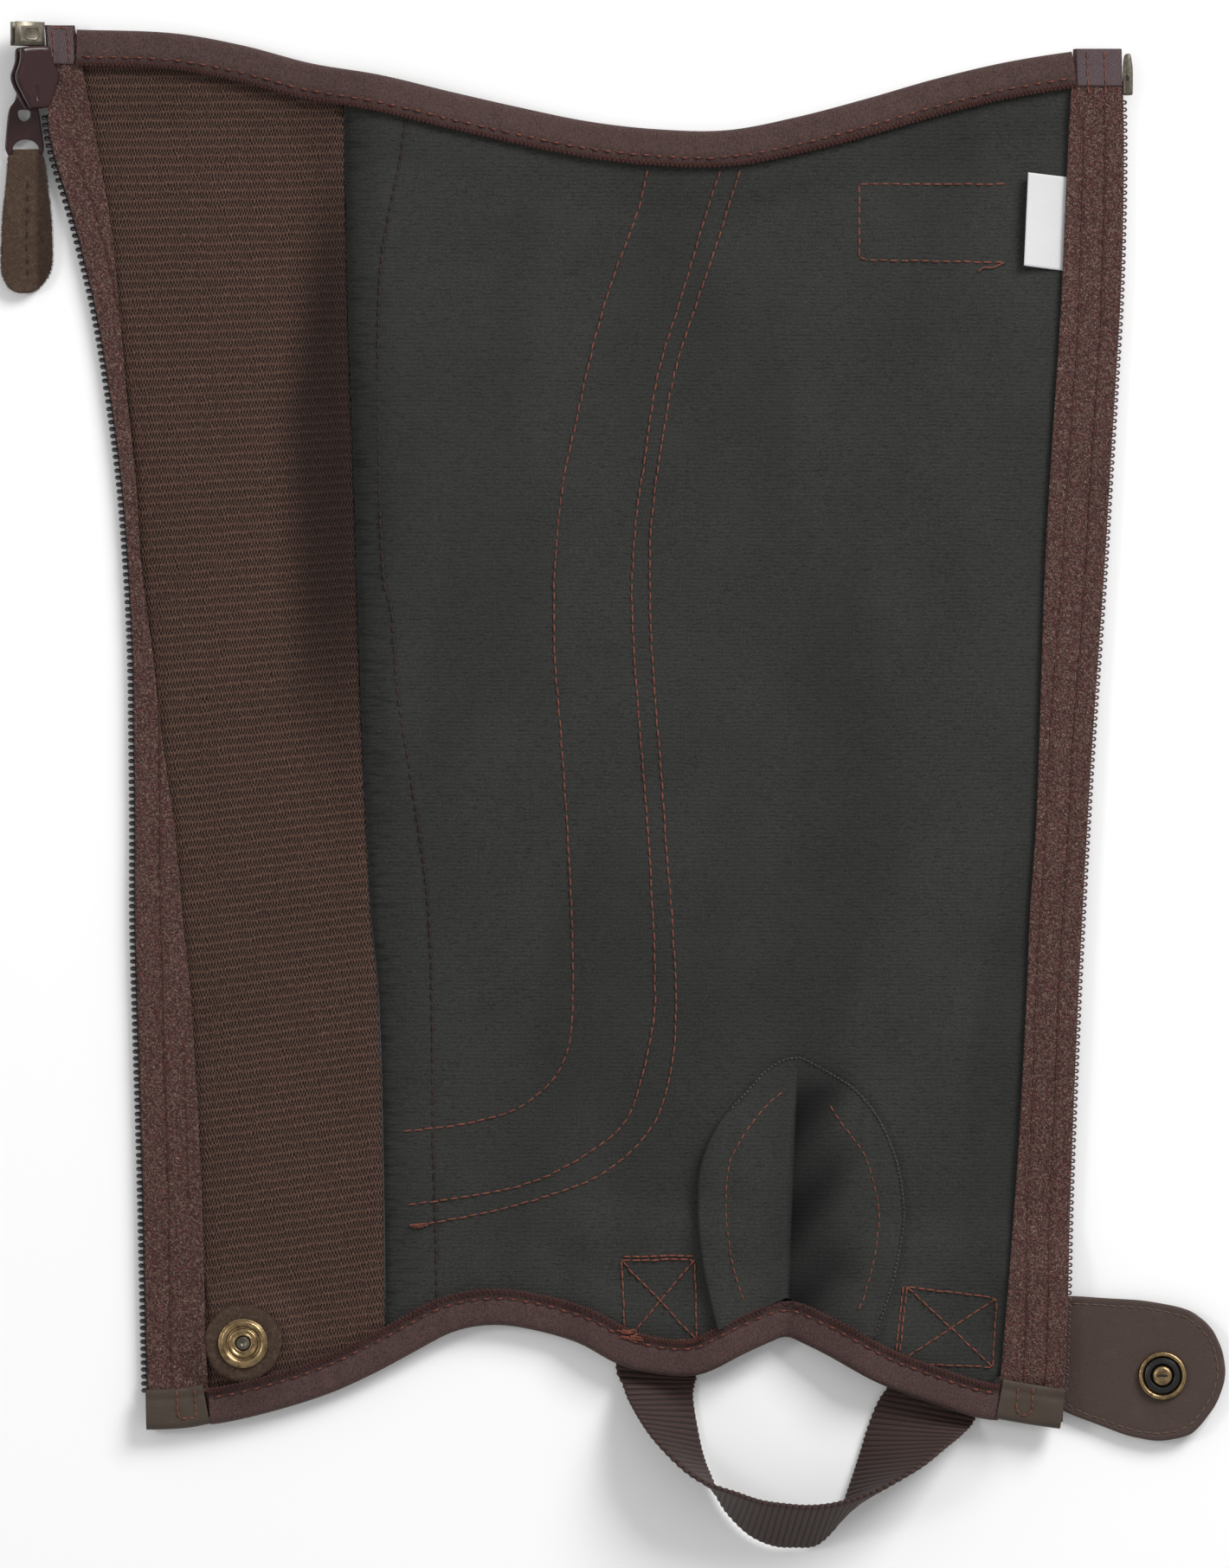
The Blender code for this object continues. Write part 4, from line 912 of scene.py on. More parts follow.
binding_top = lain_on(binding_floor, BINDING_INNER + 2.0 * BINDING_WALL)
TAPE_STEP = 0.31
xs = np.arange(106.0, -124.3, -TAPE_STEP)
top_path = np.column_stack([xs, top_edge(xs)])
xs = np.arange(-93.1, 89.1, TAPE_STEP)
hem_path = np.column_stack([xs, hem_edge(xs)])
hem_path[:, 1] = np.convolve(np.pad(hem_path[:, 1], 6, mode="edge"), np.ones(13) / 13.0, mode="valid")
for name, path, node, cut in (
    ("top_tape", top_path, "top_binding", 0.236),
    ("hem_tape", hem_path, "hem_binding", 0.192),
):
    tape = fold_over(name, path, BINDING_LEG, BINDING_INNER, binding_floor, satin_tape, seed=len(name))
    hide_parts(node)
    picots = picot_loops(name + "_picot", path, BINDING_LEG, binding_top, maroon_thread, seed=31)
    line = [sewn_at(path, BINDING_SEAM)[4:-4]]
    long = {"length": 2.8, "pitch": 3.0, "bow": 0.15, "proud": -0.1, "seed": 41, "curved": False}
    under = stitched(name + "_seam", "satin", line, binding_top, maroon_thread, 0.8, **long)
    short = {"length": 1.2, "pitch": 3.0, "bow": 0.3, "proud": 0.02, "seed": 42, "curved": False}
    sewing = stitched(name + "_stitches", "satin", line, binding_top, rust_thread, **short)

# Heaped backtacks in the binding's sewing where the foot strap is caught in.
heap = []
for tack in ((2.9, -126.6), (5.1, -127.5)):
    heap += heaped(
        tack, 8, spread=(0.8, 0.5), reaches=(0.6, 1.2), shift=0.3, points=9,
        surface=binding_top, height=0.05, bow=0.16,
    )
binding_tacks = thread_tubes("binding_tacks", heap, 0.19, rust_thread)

# The end caps: smooth brown film sealed round the lower ends of the zip tapes and sewn down with
# a U of rust thread.
LEFT_CAP = ((-107.9, -149.2), (-103.0, -149.1), (-97.9, -148.7), (-93.2, -147.8))
RIGHT_CAP = ((88.4, -146.5), (93.3, -147.4), (98.2, -148.2), (103.2, -148.9))
LEFT_U = (
    (-100.9, -139.9), (-100.7, -143.0), (-100.4, -146.2), (-98.4, -146.4), (-96.3, -146.2), (-96.5, -143.0),
    (-96.7, -139.8),
)
RIGHT_U = (
    (93.5, -139.2), (93.3, -142.0), (93.1, -144.8), (93.9, -145.5), (95.9, -145.6), (96.7, -145.0),
    (96.9, -142.0), (97.1, -139.3),
)
CAP_LEG = 9.3
CAP_INNER = 1.6
LEFT_CAP_FLOOR = 1.6
RIGHT_CAP_FLOOR = 3.6
cap_film = plain_cloth(
    "cap_film", (66, 56, 48), roughness=0.55, sheen=0.0, specular=0.25,
    drift=0.4, speckle=0.3, fibre=0.5, depth_mm=0.05,
)
for name, rows, loop, base, node in (
    ("left_end_cap", LEFT_CAP, LEFT_U, LEFT_CAP_FLOOR, "cap_left"),
    ("right_end_cap", RIGHT_CAP, RIGHT_U, RIGHT_CAP_FLOOR, "cap_right"),
):
    level = lambda x, y: base + 0.0 * x
    edge = walked(rows, TAPE_STEP)
    end_cap = fold_over(name, edge, CAP_LEG, CAP_INNER, level, cap_film, pucker=0.12, seed=int(base * 10))
    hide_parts(node)
    cap_top = lain_on(level, CAP_INNER + 2.0 * BINDING_WALL)
    short = {"length": 1.4, "pitch": 1.75, "bow": 0.2, "proud": 0.0, "seed": 43}
    sewing = stitched(name + "_stitches", "satin", [loop], cap_top, rust_thread, **short)

# The zip tapes: warp-knitted polyester in maroon and brown yarn, sewn over the panels' edges,
# with a stiff twill film over the upper ends that keeps them from fraying.
SLIDER_CENTRE = (-133.7, 164.3, 6.4)
SLIDER_ROLL = 28.0
SLIDER_TURN = 4.0
TAPE_THICK = 1.0
TAPE_GAP = 0.5
CAP_CLEARANCE = 0.3


def left_tape_floor(x, y):
    on_panel = lift(x, y) + ELASTIC_THICK + TAPE_GAP
    plane = SLIDER_CENTRE[2] - (x - SLIDER_CENTRE[0]) * math.tan(math.radians(SLIDER_ROLL))
    rises = smooth((y - 122.0) / 32.0) * np.maximum(0.0, plane - 0.5 * TAPE_THICK - on_panel)
    in_cap = LEFT_CAP_FLOOR + BINDING_WALL + CAP_CLEARANCE
    return lerp(on_panel + rises, in_cap, smooth((-136.4 - y) / 3.2))


def right_tape_floor(x, y):
    in_cap = RIGHT_CAP_FLOOR + BINDING_WALL + CAP_CLEARANCE
    return lerp(lift(x, y) + MAIN_THICK + TAPE_GAP, in_cap, smooth((-137.0 - y) / 1.8))


knit_tape, shader, place = finish_of("knit_tape", 0.8, sheen=0.08, specular=0.15)
wander = stretched(noise(place, 0.5, 2.0, wanted="Color"), (1.6, 1.6, 0.0))
loops_at = stretched(vector_step("ADD", place, wander)[0], (2.7, 2.1, 0.0))
loops = put(place.id_data, "ShaderNodeTexVoronoi", Vector=loops_at, Scale=1.0, Randomness=0.8).outputs
knit = ramp(loops["Distance"], 0.75, 0.25)
yarn, lit, _ = parts(loops["Color"])
cloth = over((112, 72, 70), ramp(yarn, 0.3, 0.7), (128, 106, 94))
cloth = over(cloth, times(lit, 0.6), (62, 38, 36))
cloth, fibres = dyed_cloth(place, cloth, drift=0.15, speckle=0.6, fibre=0.35)
cloth = over(cloth, times_plus(knit, -0.85, 0.85), (44, 24, 22))
dressed(shader, cloth, times_plus(knit, 0.7, times(fibres, 0.3)), 0.35)

twill_film, shader, place = finish_of("twill_film", 0.45, specular=0.4)
slanting = vector_step("DOT_PRODUCT", place, (10.0, 7.0, 0.0))["Value"]
crossing = vector_step("DOT_PRODUCT", place, (-6.0, 10.0, 0.0))["Value"]
twill = times_plus(times(maths("SINE", slanting), maths("SINE", crossing)), 0.5, 0.5)
cloth, fibres = dyed_cloth(place, (76, 57, 60), drift=0.25, speckle=1.0, fibre=0.4)
dressed(shader, over(cloth, times(twill, 0.5), (54, 38, 42)), twill, 0.1)

LEFT_SEAMS = (((5.2, 150.0), (5.6, 40.0), (6.0, -60.0), (5.7, -139.0)), ((10.6, -62.0), (10.4, -96.0)))
RIGHT_SEAMS = (((4.4, 158.0), (4.3, 60.0), (4.6, -139.0)), ((9.4, 154.0), (9.8, 40.0), (9.6, -138.0)))


def zip_tape(
    name, node, outer, inner, side, cap, floor_at, top_y, dents, seams, film_x, film_y, runs, low_y
):
    """One tape with its sewing and its stiff end. side is 1 where the cloth lies to the right of
    its outer edge; dents and seams are told by their distance from that edge."""
    cap_line = drawn(cap)
    x, y = laid_grid(outer, inner, lambda x: cap_line(x) + 1.6, lambda x: top_y + 0.0 * x, 31, 560)
    in_from_edge = np.abs(x - outer(y))
    outside_cap = smooth((y + 139.0) / 3.0)
    low = floor_at(x, y)
    ripple = 0.04 * np.cos(2.0 * np.pi * in_from_edge / 1.25) + 0.06 * hum(x, y, 7.0, 14)
    curl = 0.12 * bump(in_from_edge - 12.6, 1.2)
    pressed = -0.1 * sum(bump(in_from_edge - dent, 0.9) for dent in dents)
    high = low + TAPE_THICK - 0.12 + outside_cap * (ripple + pressed + curl)
    tape = sewn_sheet(name, x, y, low, high, (knit_tape, knit_tape), np.stack([in_from_edge, y], axis=2))
    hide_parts(node)
    lines = []
    for seam in seams:
        at = np.array(seam, float)
        ys = np.arange(at[-1, 1], at[0, 1], 0.5)
        depth = np.interp(ys, at[::-1, 1], at[::-1, 0]) + 0.12 * np.sin(ys / 9.0)
        lines.append(np.column_stack([outer(ys) + side * depth, ys]))
    top = lain_on(floor_at, TAPE_THICK - 0.1)
    long = {"length": 2.3, "pitch": 2.6, "bow": 0.12, "proud": -0.04, "seed": 51, "curved": False}
    seam_threads = stitched(name + "_stitches", "tape_cloth", lines, top, maroon_thread, 0.75, **long)

    # the stiff end, with its rows of rust stitches
    depth, film_at = np.meshgrid(film_x, film_y)
    film_across = outer(film_at) + side * depth
    low = floor_at(film_across, film_at) + TAPE_THICK - 0.18
    film = sewn_sheet(name + "_end", film_across, film_at, low, low + 0.34, (twill_film, twill_film))
    ys = np.linspace(low_y, film_y[-1] - 0.6, 12)
    lines = [np.column_stack([[float(outer(y)) + side * run for y in ys], ys]) for run in runs]
    if name == "left_tape":
        xs = np.linspace(1.6, 5.2, 6)
        ys = 174.7 + 0.25 * np.sin(np.pi * (xs - 1.6) / 3.6)
        lines.append(np.column_stack([float(outer(175.0)) + xs, ys]))
    top = lain_on(floor_at, TAPE_THICK + 0.16)
    short = {"length": 1.9, "pitch": 2.1, "bow": 0.16, "proud": 0.0, "seed": 53, "curved": False}
    end_threads = stitched(name + "_end_stitches", "tape_cloth", lines, top, rust_thread, 0.8, **short)


zip_tape(
    "left_tape",
    "zip_tape_left",
    outer=left_outer,
    inner=lambda y: np.minimum(left_inner(y), left_outer(y) + 14.8),
    side=1.0,
    cap=LEFT_CAP,
    floor_at=left_tape_floor,
    top_y=175.5,
    dents=(5.5,),
    seams=LEFT_SEAMS,
    film_x=np.linspace(0.3, 6.4, 16),
    film_y=np.linspace(166.5, 175.3, 22),
    runs=(1.6, 5.2),
    low_y=166.8,
)
zip_tape(
    "right_tape",
    "zip_tape_right",
    outer=right_outer,
    inner=right_inner,
    side=-1.0,
    cap=RIGHT_CAP,
    floor_at=right_tape_floor,
    top_y=170.0,
    dents=(4.4, 9.5),
    seams=RIGHT_SEAMS,
    film_x=np.linspace(0.1, 10.6, 22),
    film_y=np.linspace(161.4, 170.05, 22),
    runs=(4.0, 8.0),
    low_y=159.5,
)

# The zip's coils: stiff nylon filament wound in a flat spiral. The left one turns its black
# heads outward; on the right one the brown turns stand open beyond the tape.
moulded_nylon = plain_cloth(
    "moulded_nylon", (34, 24, 23), roughness=0.3, sheen=0.0, specular=0.55,
    drift=0.2, speckle=0.25, fibre=0.5, depth_mm=0.03,
)
brown_nylon = plain_cloth(
    "brown_nylon", (78, 54, 52), roughness=0.35, sheen=0.0, specular=0.5,
    drift=0.2, speckle=0.3, fibre=0.5, depth_mm=0.03,
)

COIL_PITCH = 1.6
COIL_FLOOR = 0.95
COIL_DROP = 1.05
CORE_RADIUS = 0.62
CORE_STEP = 1.2
# a turn's path: outward from the tape's edge, along it and up
BLACK_TURN = (
    (-1.7, -0.1, 0.34), (0.3, -0.1, 0.34), (0.85, -0.06, 0.28), (1.05, 0.0, 0.0), (0.85, 0.06, -0.28),
    (0.3, 0.1, -0.34), (-1.7, 0.1, -0.34),
)
BLACK_RADII = (0.34, 0.36, 0.5, 0.56, 0.5, 0.36, 0.34)
BROWN_TURN = (
    (-1.6, -0.34, 0.1), (0.2, -0.38, 0.12), (0.6, -0.3, 0.06), (0.74, 0.0, 0.0), (0.6, 0.3, -0.06),
    (0.2, 0.38, -0.12), (-1.6, 0.34, -0.1),
)
BROWN_RADII = (0.18, 0.19, 0.22, 0.24, 0.22, 0.19, 0.18)


def coil_turns(name, node, look, edge, floor_at, turn, radii, outward, core_in, low, high):
    """One coil: a filament turn every 1.6 mm along the tape's edge, just under it, on its core."""
    draws = np.random.default_rng(61)
    paths = []
    for y in np.arange(low, high, COIL_PITCH):
        x = float(edge(y))
        middle = max(COIL_FLOOR, float(floor_at(np.array(x), np.array(y))) - COIL_DROP)
        lean = draws.normal(0.0, 0.03)
        points = []
        for out, along, up in turn:
            z = middle + up + draws.normal(0.0, 0.015)
            points.append((x + outward * out, y + along + lean * out, z))
        paths.append(points)
    coil = thread_tubes(name, paths, radii, look, sides=8)
    cord_y = np.arange(low, high, CORE_STEP)
    cord_z = np.maximum(COIL_FLOOR, floor_at(edge(cord_y), cord_y) - COIL_DROP)
    cord = np.column_stack([edge(cord_y) - outward * core_in, cord_y, cord_z])
    core = thread_tubes(name + "_core", [cord], CORE_RADIUS, look, sides=8)
    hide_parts(node)


coil_turns(
    "black_coil", "coil_left", moulded_nylon, left_outer, left_tape_floor, BLACK_TURN, BLACK_RADII,
    outward=-1.0, core_in=0.15, low=-140.2, high=155.4,
)
coil_turns(
    "brown_coil", "coil_right", brown_nylon, right_outer, right_tape_floor, BROWN_TURN, BROWN_RADII,
    outward=1.0, core_in=1.0, low=-139.9, high=158.2,
)

# The slider: a painted zinc casting in glossy dark brown, seen from its plain back. It has been
# run to the top of the left tape and lies rolled with its left side up.
# along its length, then half its width there
SLIDER_PLATE = (
    (6.2, 3.5), (5.2, 3.8), (3.2, 3.95), (1.6, 4.6), (0.2, 5.3), (-1.2, 5.5), (-3.0, 4.9), (-4.8, 4.0),
    (-6.6, 3.2), (-7.8, 2.6), (-8.2, 2.2),
)

# Metal worn by handling: small pits, and a tint that changes over the surface.
handled_metal, taken, given = effect(
    "handled_metal",
    (
        ("Place", VECTOR, None),
        ("Clean", COLOUR, (0.2, 0.2, 0.2, 1.0)),
        ("Dull", COLOUR, (0.05, 0.05, 0.05, 1.0)),
        ("Dullness", FLOAT, 0.4),
        ("Roughness", FLOAT, 0.3),
    ),
    (("Colour", COLOUR), ("Roughness", FLOAT), ("Pits", FLOAT)),
)
patches = noise(taken["Place"], 0.55, 5.0, 0.65)
dulled = times(ramp(patches, 0.4, 0.68), taken["Dullness"])
fill(given["Colour"], over(taken["Clean"], dulled, taken["Dull"]))
fill(given["Roughness"], times_plus(less(patches, 0.45), 0.35, taken["Roughness"]))
fill(given["Pits"], noise(taken["Place"], 4.5, 3.0, 0.6))


def metal_finish(name, clean, dull, dullness, roughness, metallic, pit_mm, specular=0.5):
    """A metal or lacquered surface with the handled_metal group in it."""
    look, shader, place = finish_of(name, roughness, 0.0, specular, metallic)
    values = {"Clean": linear(clean), "Dull": linear(dull), "Dullness": dullness, "Roughness": roughness}
    node = put(place.id_data, "ShaderNodeGroup", node_tree=handled_metal, Place=place, **values)
    fill(shader.inputs["Roughness"], node.outputs["Roughness"])
    dressed(shader, node.outputs["Colour"], node.outputs["Pits"], pit_mm)
    return look


brown_lacquer = metal_finish(
    "brown_lacquer", clean=(52, 32, 33), dull=(40, 24, 26),
    dullness=0.5, roughness=0.16, metallic=0.0, pit_mm=0.01, specular=0.28,
)
old_nickel = metal_finish(
    "old_nickel", clean=(118, 112, 100), dull=(72, 67, 58),
    dullness=0.85, roughness=0.36, metallic=1.0, pit_mm=0.03,
)
old_brass = metal_finish(
    "old_brass", clean=(162, 138, 101), dull=(78, 60, 45),
    dullness=0.85, roughness=0.26, metallic=1.0, pit_mm=0.03,
)


def rounded(outline, rounds=2):
    """A closed outline with its corners cut softer, each round doubling its points."""
    points = np.array(outline, float)
    for _ in range(rounds):
        after = np.roll(points, -1, axis=0)
        points = np.stack([0.8 * points + 0.2 * after, 0.2 * points + 0.8 * after], axis=1).reshape(-1, 2)
    return points


def stacked_plate(outline, steps):
    """Points and faces of a plate from insets of its outline: steps are (inset, height)."""
    points = np.array(outline, float)
    area = np.sum(points[:, 0] * np.roll(points[:, 1], -1) - np.roll(points[:, 0], -1) * points[:, 1])
    points = points if area > 0.0 else points[::-1]
    middle = 0.5 * (points.min(axis=0) + points.max(axis=0))
    reach = points.max(axis=0) - middle
    count = len(points)
    rings = []
    for inset, height in steps:
        drawn_in = middle + (points - middle) * (1.0 - inset / reach)
        rings.append(np.column_stack([drawn_in, np.full(count, height)]))
    return np.concatenate(rings), tube_faces(len(steps), count)


def gathered(*bodies):
    """Several closed bodies as the points and faces of one piece."""
    points, faces, start = [], [], 0
    for made, sides in bodies:
        points.append(np.array(made, float))
        faces += [[start + i for i in side] for side in sides]
        start += len(made)
    return np.concatenate(points), faces


def set_in(body, matrix):
    """A body's points moved by a matrix that is in millimetres."""
    made, sides = body
    matrix = np.array(matrix)
    return np.array(made, float) @ matrix[:3, :3].T + matrix[:3, 3], sides


def cast(name, look, at, *bodies):
    """Closed bodies as one piece of one finish, set in the garment by a matrix."""
    return made_piece(name, *gathered(*(set_in(body, at) for body in bodies)), (look,))


def placed(x, y, z, roll=0.0, turn=0.0):
    """A place on the garment, turned about Z and then rolled about Y, in degrees."""
    turned = Matrix.Translation((x, y, z)) @ Matrix.Rotation(math.radians(turn), 4, "Z")
    return turned @ Matrix.Rotation(math.radians(roll), 4, "Y")


def pill(long, wide, steps=20):
    """The outline of a rounded bar: half its length along Y and half its width."""
    turn = circle(steps)
    return np.column_stack([wide * np.cos(turn), np.sign(np.sin(turn)) * (long - wide) + wide * np.sin(turn)])


def rod_between(path, radius, sides=10):
    """Points and faces of a round rod along a path."""
    path = np.array(path, float)
    run = unit(np.gradient(path, axis=0))
    side = np.tile(np.array([1.0, 0.0, 0.0]), (len(path), 1))
    turn = circle(sides)[None, :, None]
    ring = side[:, None] * np.cos(turn) + np.cross(run, side)[:, None] * np.sin(turn)
    return (path[:, None] + radius * ring).reshape(-1, 3), tube_faces(len(path), sides)


slider_outline = [(half, along) for along, half in SLIDER_PLATE]
slider_outline = rounded(slider_outline + [(-half, along) for along, half in reversed(SLIDER_PLATE)], 3)
UPPER_STEPS = (
    (0.6, 0.72), (0.15, 0.76), (0.0, 0.95), (0.0, 1.5), (0.06, 1.75), (0.18, 1.97), (0.36, 2.12), (0.6, 2.21),
    (0.9, 2.26), (1.3, 2.28), (1.5, 2.28),
)
LOWER_STEPS = tuple((inset, -height) for inset, height in reversed(UPPER_STEPS[:8]))
RIDGE_STEPS = ((0.0, 2.0), (0.0, 2.24), (0.08, 2.42), (0.2, 2.46), (0.3, 2.34), (0.4, 2.3))
BRIDGE_X = -135.9
BRIDGE = (
    (158.8, 5.5), (158.8, 3.0), (158.85, 1.7), (159.3, 1.05), (160.2, 0.87), (163.4, 0.85), (166.6, 0.87),
    (167.5, 1.05), (167.95, 1.7), (168.0, 3.0), (168.0, 5.5),
)
slider_at = placed(*SLIDER_CENTRE, SLIDER_ROLL, SLIDER_TURN)
slider_parts = (
    stacked_plate(slider_outline, UPPER_STEPS),
    stacked_plate(slider_outline, LOWER_STEPS),
    stacked_plate([(-0.9, -1.0), (0.9, -1.0), (0.9, 6.0), (-0.9, 6.0)], ((0.0, -1.6), (0.0, 1.6))),
    stacked_plate(pill(2.2, 0.72, 28) + (-0.9, -4.6), RIDGE_STEPS),
)
BRIDGE_RADIUS = 0.6
bridge = rod_between([(BRIDGE_X, y, z) for y, z in BRIDGE], BRIDGE_RADIUS)
slider_body = gathered(*(set_in(part, slider_at) for part in slider_parts), bridge)
slider_casting = made_piece("slider_casting", *slider_body, (brown_lacquer,))
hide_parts("slider")

# The retainer box: a folded nickel channel on the end of the left tape, with a framed bare
# recess in its upper side.
BOX_TOP_STEPS = (
    (0.1, 0.9), (0.0, 0.95), (0.0, 1.3), (0.04, 1.36), (0.12, 1.42), (0.2, 1.47), (0.8, 1.8), (0.88, 1.85),
    (0.98, 1.88), (1.04, 1.88), (1.2, 1.88),
)
RECESS_STEPS = ((-0.18, 1.8), (-0.18, 1.96), (-0.1, 2.0), (0.02, 2.0), (0.12, 1.93), (0.2, 1.92))
box_outline = [(3.7, -2.75), (3.7, 2.75), (-3.7, 2.75), (-3.7, -2.75)]
recess_outline = rounded([(-1.7, -1.35), (1.7, -1.35), (1.7, 1.35), (-1.7, 1.35)], 1)
retainer = cast(
    "retainer",
    old_nickel,
    placed(-135.2, 173.4, 6.6, SLIDER_ROLL),
    stacked_plate(box_outline, BOX_TOP_STEPS),
    stacked_plate(recess_outline, RECESS_STEPS),
    stacked_plate(box_outline, ((0.3, -1.9), (0.0, -1.6), (0.0, -1.0), (0.1, -0.9))),
    stacked_plate([(2.5, -2.6), (3.6, -2.6), (3.6, 2.6), (2.5, 2.6)], ((0.0, -1.5), (0.0, 1.4))),
)
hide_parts("retainer_box")

# The insertion pin on the right tape: a flattened nickel bar, narrower at its top, with a
# small oval dimple.
PIN_OUTLINE = (
    (-1.0, -4.8), (1.0, -4.8), (1.15, -4.3), (1.15, 1.6), (0.7, 4.3), (0.5, 4.8), (-0.4, 4.8), (-0.9, 4.3),
    (-1.15, 1.6), (-1.15, -4.3),
)
PIN_STEPS = ((0.35, -1.1), (0.0, -0.75), (0.0, 0.7), (0.12, 0.95), (0.4, 1.1))
DIMPLE_PLACE = (-0.15, -0.85)
pin_at = placed(118.95, 164.1, 4.3)
hole = stacked_plate(pill(0.62, 0.34, 16) + DIMPLE_PLACE, ((0.0, 0.9), (0.0, 1.12), (0.06, 1.14)))
pin_hole = cast("pin_hole", moulded_nylon, pin_at, hole)
dimple = stacked_plate(pill(0.95, 0.6, 16) + DIMPLE_PLACE, ((0.0, 0.9), (0.0, 1.1), (0.1, 1.16), (0.2, 1.1)))
pin_bar = stacked_plate(rounded(PIN_OUTLINE), PIN_STEPS)
insertion_pin = cast("insertion_pin", old_nickel, pin_at, pin_bar, dimple)
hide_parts("zip_pin")

# The pull: a die-cast link in the slider's lacquer, hung on the bridge, and a strip of brown
# suede folded through its lower hole and sewn to itself.
PULL_PIVOT = (BRIDGE_X, 163.4, 2.3)
PULL_LINK = (
    (-1.9, 0.6), (-2.2, -5.0), (-4.0, -7.2), (-4.6, -13.4), (-4.8, -16.3), (-4.0, -18.2), (-2.6, -18.7),
    (2.4, -18.7), (3.7, -18.2), (4.3, -16.3), (3.8, -13.4), (3.0, -7.2), (2.1, -5.0), (1.9, 0.6),
)
LINK_HOLES = (
    ((-1.0, -0.6), (1.0, -0.6), (1.0, -6.3), (-1.0, -6.3)),
    ((-1.8, -7.3), (1.0, -7.3), (1.0, -8.9), (0.4, -9.8), (-0.4, -10.1), (-1.2, -9.8), (-1.8, -8.9)),
    ((-3.2, -17.3), (3.2, -17.3), (2.9, -15.6), (1.7, -14.5), (0.0, -14.1), (-1.7, -14.5), (-2.9, -15.6)),
)
link_curve = bpy.data.curves.new("link_casting", "CURVE")
link_curve.dimensions = "2D"
link_curve.fill_mode = "BOTH"
link_curve.extrude = 0.00032
link_curve.bevel_depth = 0.00028
link_curve.bevel_resolution = 3
link_curve.offset = -0.00026
for outline in (PULL_LINK, *LINK_HOLES):
    soft = rounded(outline) * 0.001
    spline = link_curve.splines.new("POLY")
    spline.points.add(len(soft) - 1)
    spline.points.foreach_set("co", np.column_stack([soft, np.zeros(len(soft)), np.ones(len(soft))]).ravel())
    spline.use_cyclic_u = True
link_curve.materials.append(brown_lacquer)
link_casting = bpy.data.objects.new("link_casting", link_curve)
bpy.context.scene.collection.objects.link(link_casting)
link_casting.location = (Vector(PULL_PIVOT) + Vector((*SHIFT, 0.0))) * 0.001
link_casting.rotation_euler = (math.radians(2.5), 0.0, 0.0)
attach(link_casting, "pull")
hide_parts("pull_link")

brown_suede, shader, place = finish_of("brown_suede", 0.95, sheen=0.12, specular=0.08)
shader.inputs["Sheen Tint"].default_value = linear((150, 126, 110))
cloth, fibres = dyed_cloth(place, (70, 56, 47), drift=0.5, speckle=0.8, fibre=0.5)
tufts = noise(place, 0.9, 5.0, 0.7)
cloth = over(cloth, times(ramp(tufts, 0.5, 0.72), 0.5), (104, 88, 76))
# painted shade over the strip's right third
right_part = parts(place)["X"]
right_side_shade = times(ramp(right_part, -134.2, -132.6, soft=True), ramp(right_part, -128.0, -129.0))
cloth = over(cloth, times(right_side_shade, 0.55), (30, 22, 21))
dressed(shader, cloth, times_plus(tufts, 0.5, times(fibres, 0.5)), 0.3)

# y, then x of its left and of its right edge
PULLER = (
    (145.7, -139.3, -132.2), (145.1, -140.0, -131.6), (141.3, -140.2, -131.2), (131.3, -141.2, -130.0),
    (122.3, -141.6, -129.7), (119.3, -141.5, -130.0), (117.3, -141.1, -130.8), (115.3, -140.1, -132.3),
    (114.3, -139.1, -133.5), (113.7, -137.7, -134.9),
)
puller_left = drawn(PULLER, 1)
puller_right = drawn(PULLER, 2)
runs = ((113.75, 117.0, 9), (117.6, 142.5, 42), (143.0, 145.6, 8))
ys = np.concatenate([np.linspace(*run) for run in runs])
turn = circle(48)
SQUARENESS = 0.32
square = lambda part: np.sign(part) * np.abs(part) ** SQUARENESS
edge_draws = np.random.default_rng(71)
layers = []
for middle, upper in ((0.7, False), (2.2, True)):
    rings = []
    for y in ys if upper else ys[:-7]:
        left, right = float(puller_left(y)), float(puller_right(y))
        half = 0.5 * (right - left) - 0.05 - (0.0 if upper else 0.12)
        xs = 0.5 * (left + right) + half * square(np.cos(turn))
        lean = (-0.5 if upper else -0.15) * smooth((y - 139.0) / 4.5)
        zs = middle - lean + 0.65 * square(np.sin(turn))
        if upper:
            relief = 0.06 * hum(xs, y + 0.0 * xs, 4.0, 8) - 0.3 * bump(xs + 135.5, 0.8)
            zs = zs + relief * (zs > 2.2)
        ragged = 0.05 * edge_draws.normal(size=48) * (np.abs(np.cos(turn)) > 0.9)
        rings.append(np.column_stack([xs + ragged, y + 0.0 * xs, np.maximum(zs, 0.04)]))
    faces = [face[::-1] for face in tube_faces(len(rings), 48)]
    layers.append((np.concatenate(rings), faces))

# the turn of the strip round the link's lower bar
loop_turn = np.linspace(-0.5 * np.pi, 0.5 * np.pi, 15)
loop_path = [(143.0, 0.6)] + [(145.1 + 1.5 * math.cos(t), 1.6 + 1.1 * math.sin(t)) for t in loop_turn]
loop_path = np.array(loop_path + [(143.0, 2.6)])
away = unit(np.gradient(loop_path, axis=0))
out = 0.38 * np.stack([away[:, 1], -away[:, 0]], axis=1)
loop_x, at = np.meshgrid(np.linspace(-138.9, -132.8, 9), np.arange(len(loop_path)))
outside = np.concatenate([loop_x[:, :, None], (loop_path + out)[at]], axis=2)
inside = np.concatenate([loop_x[:, :, None], (loop_path - out)[at]], axis=2)
section = np.concatenate([outside, inside[:, ::-1]], axis=1)
loop_body = (section.reshape(-1, 3), tube_faces(*section.shape[:2]))
puller_strip = made_piece("puller_strip", *gathered(*layers, loop_body), (brown_suede,), body="pull")
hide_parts("suede_puller")
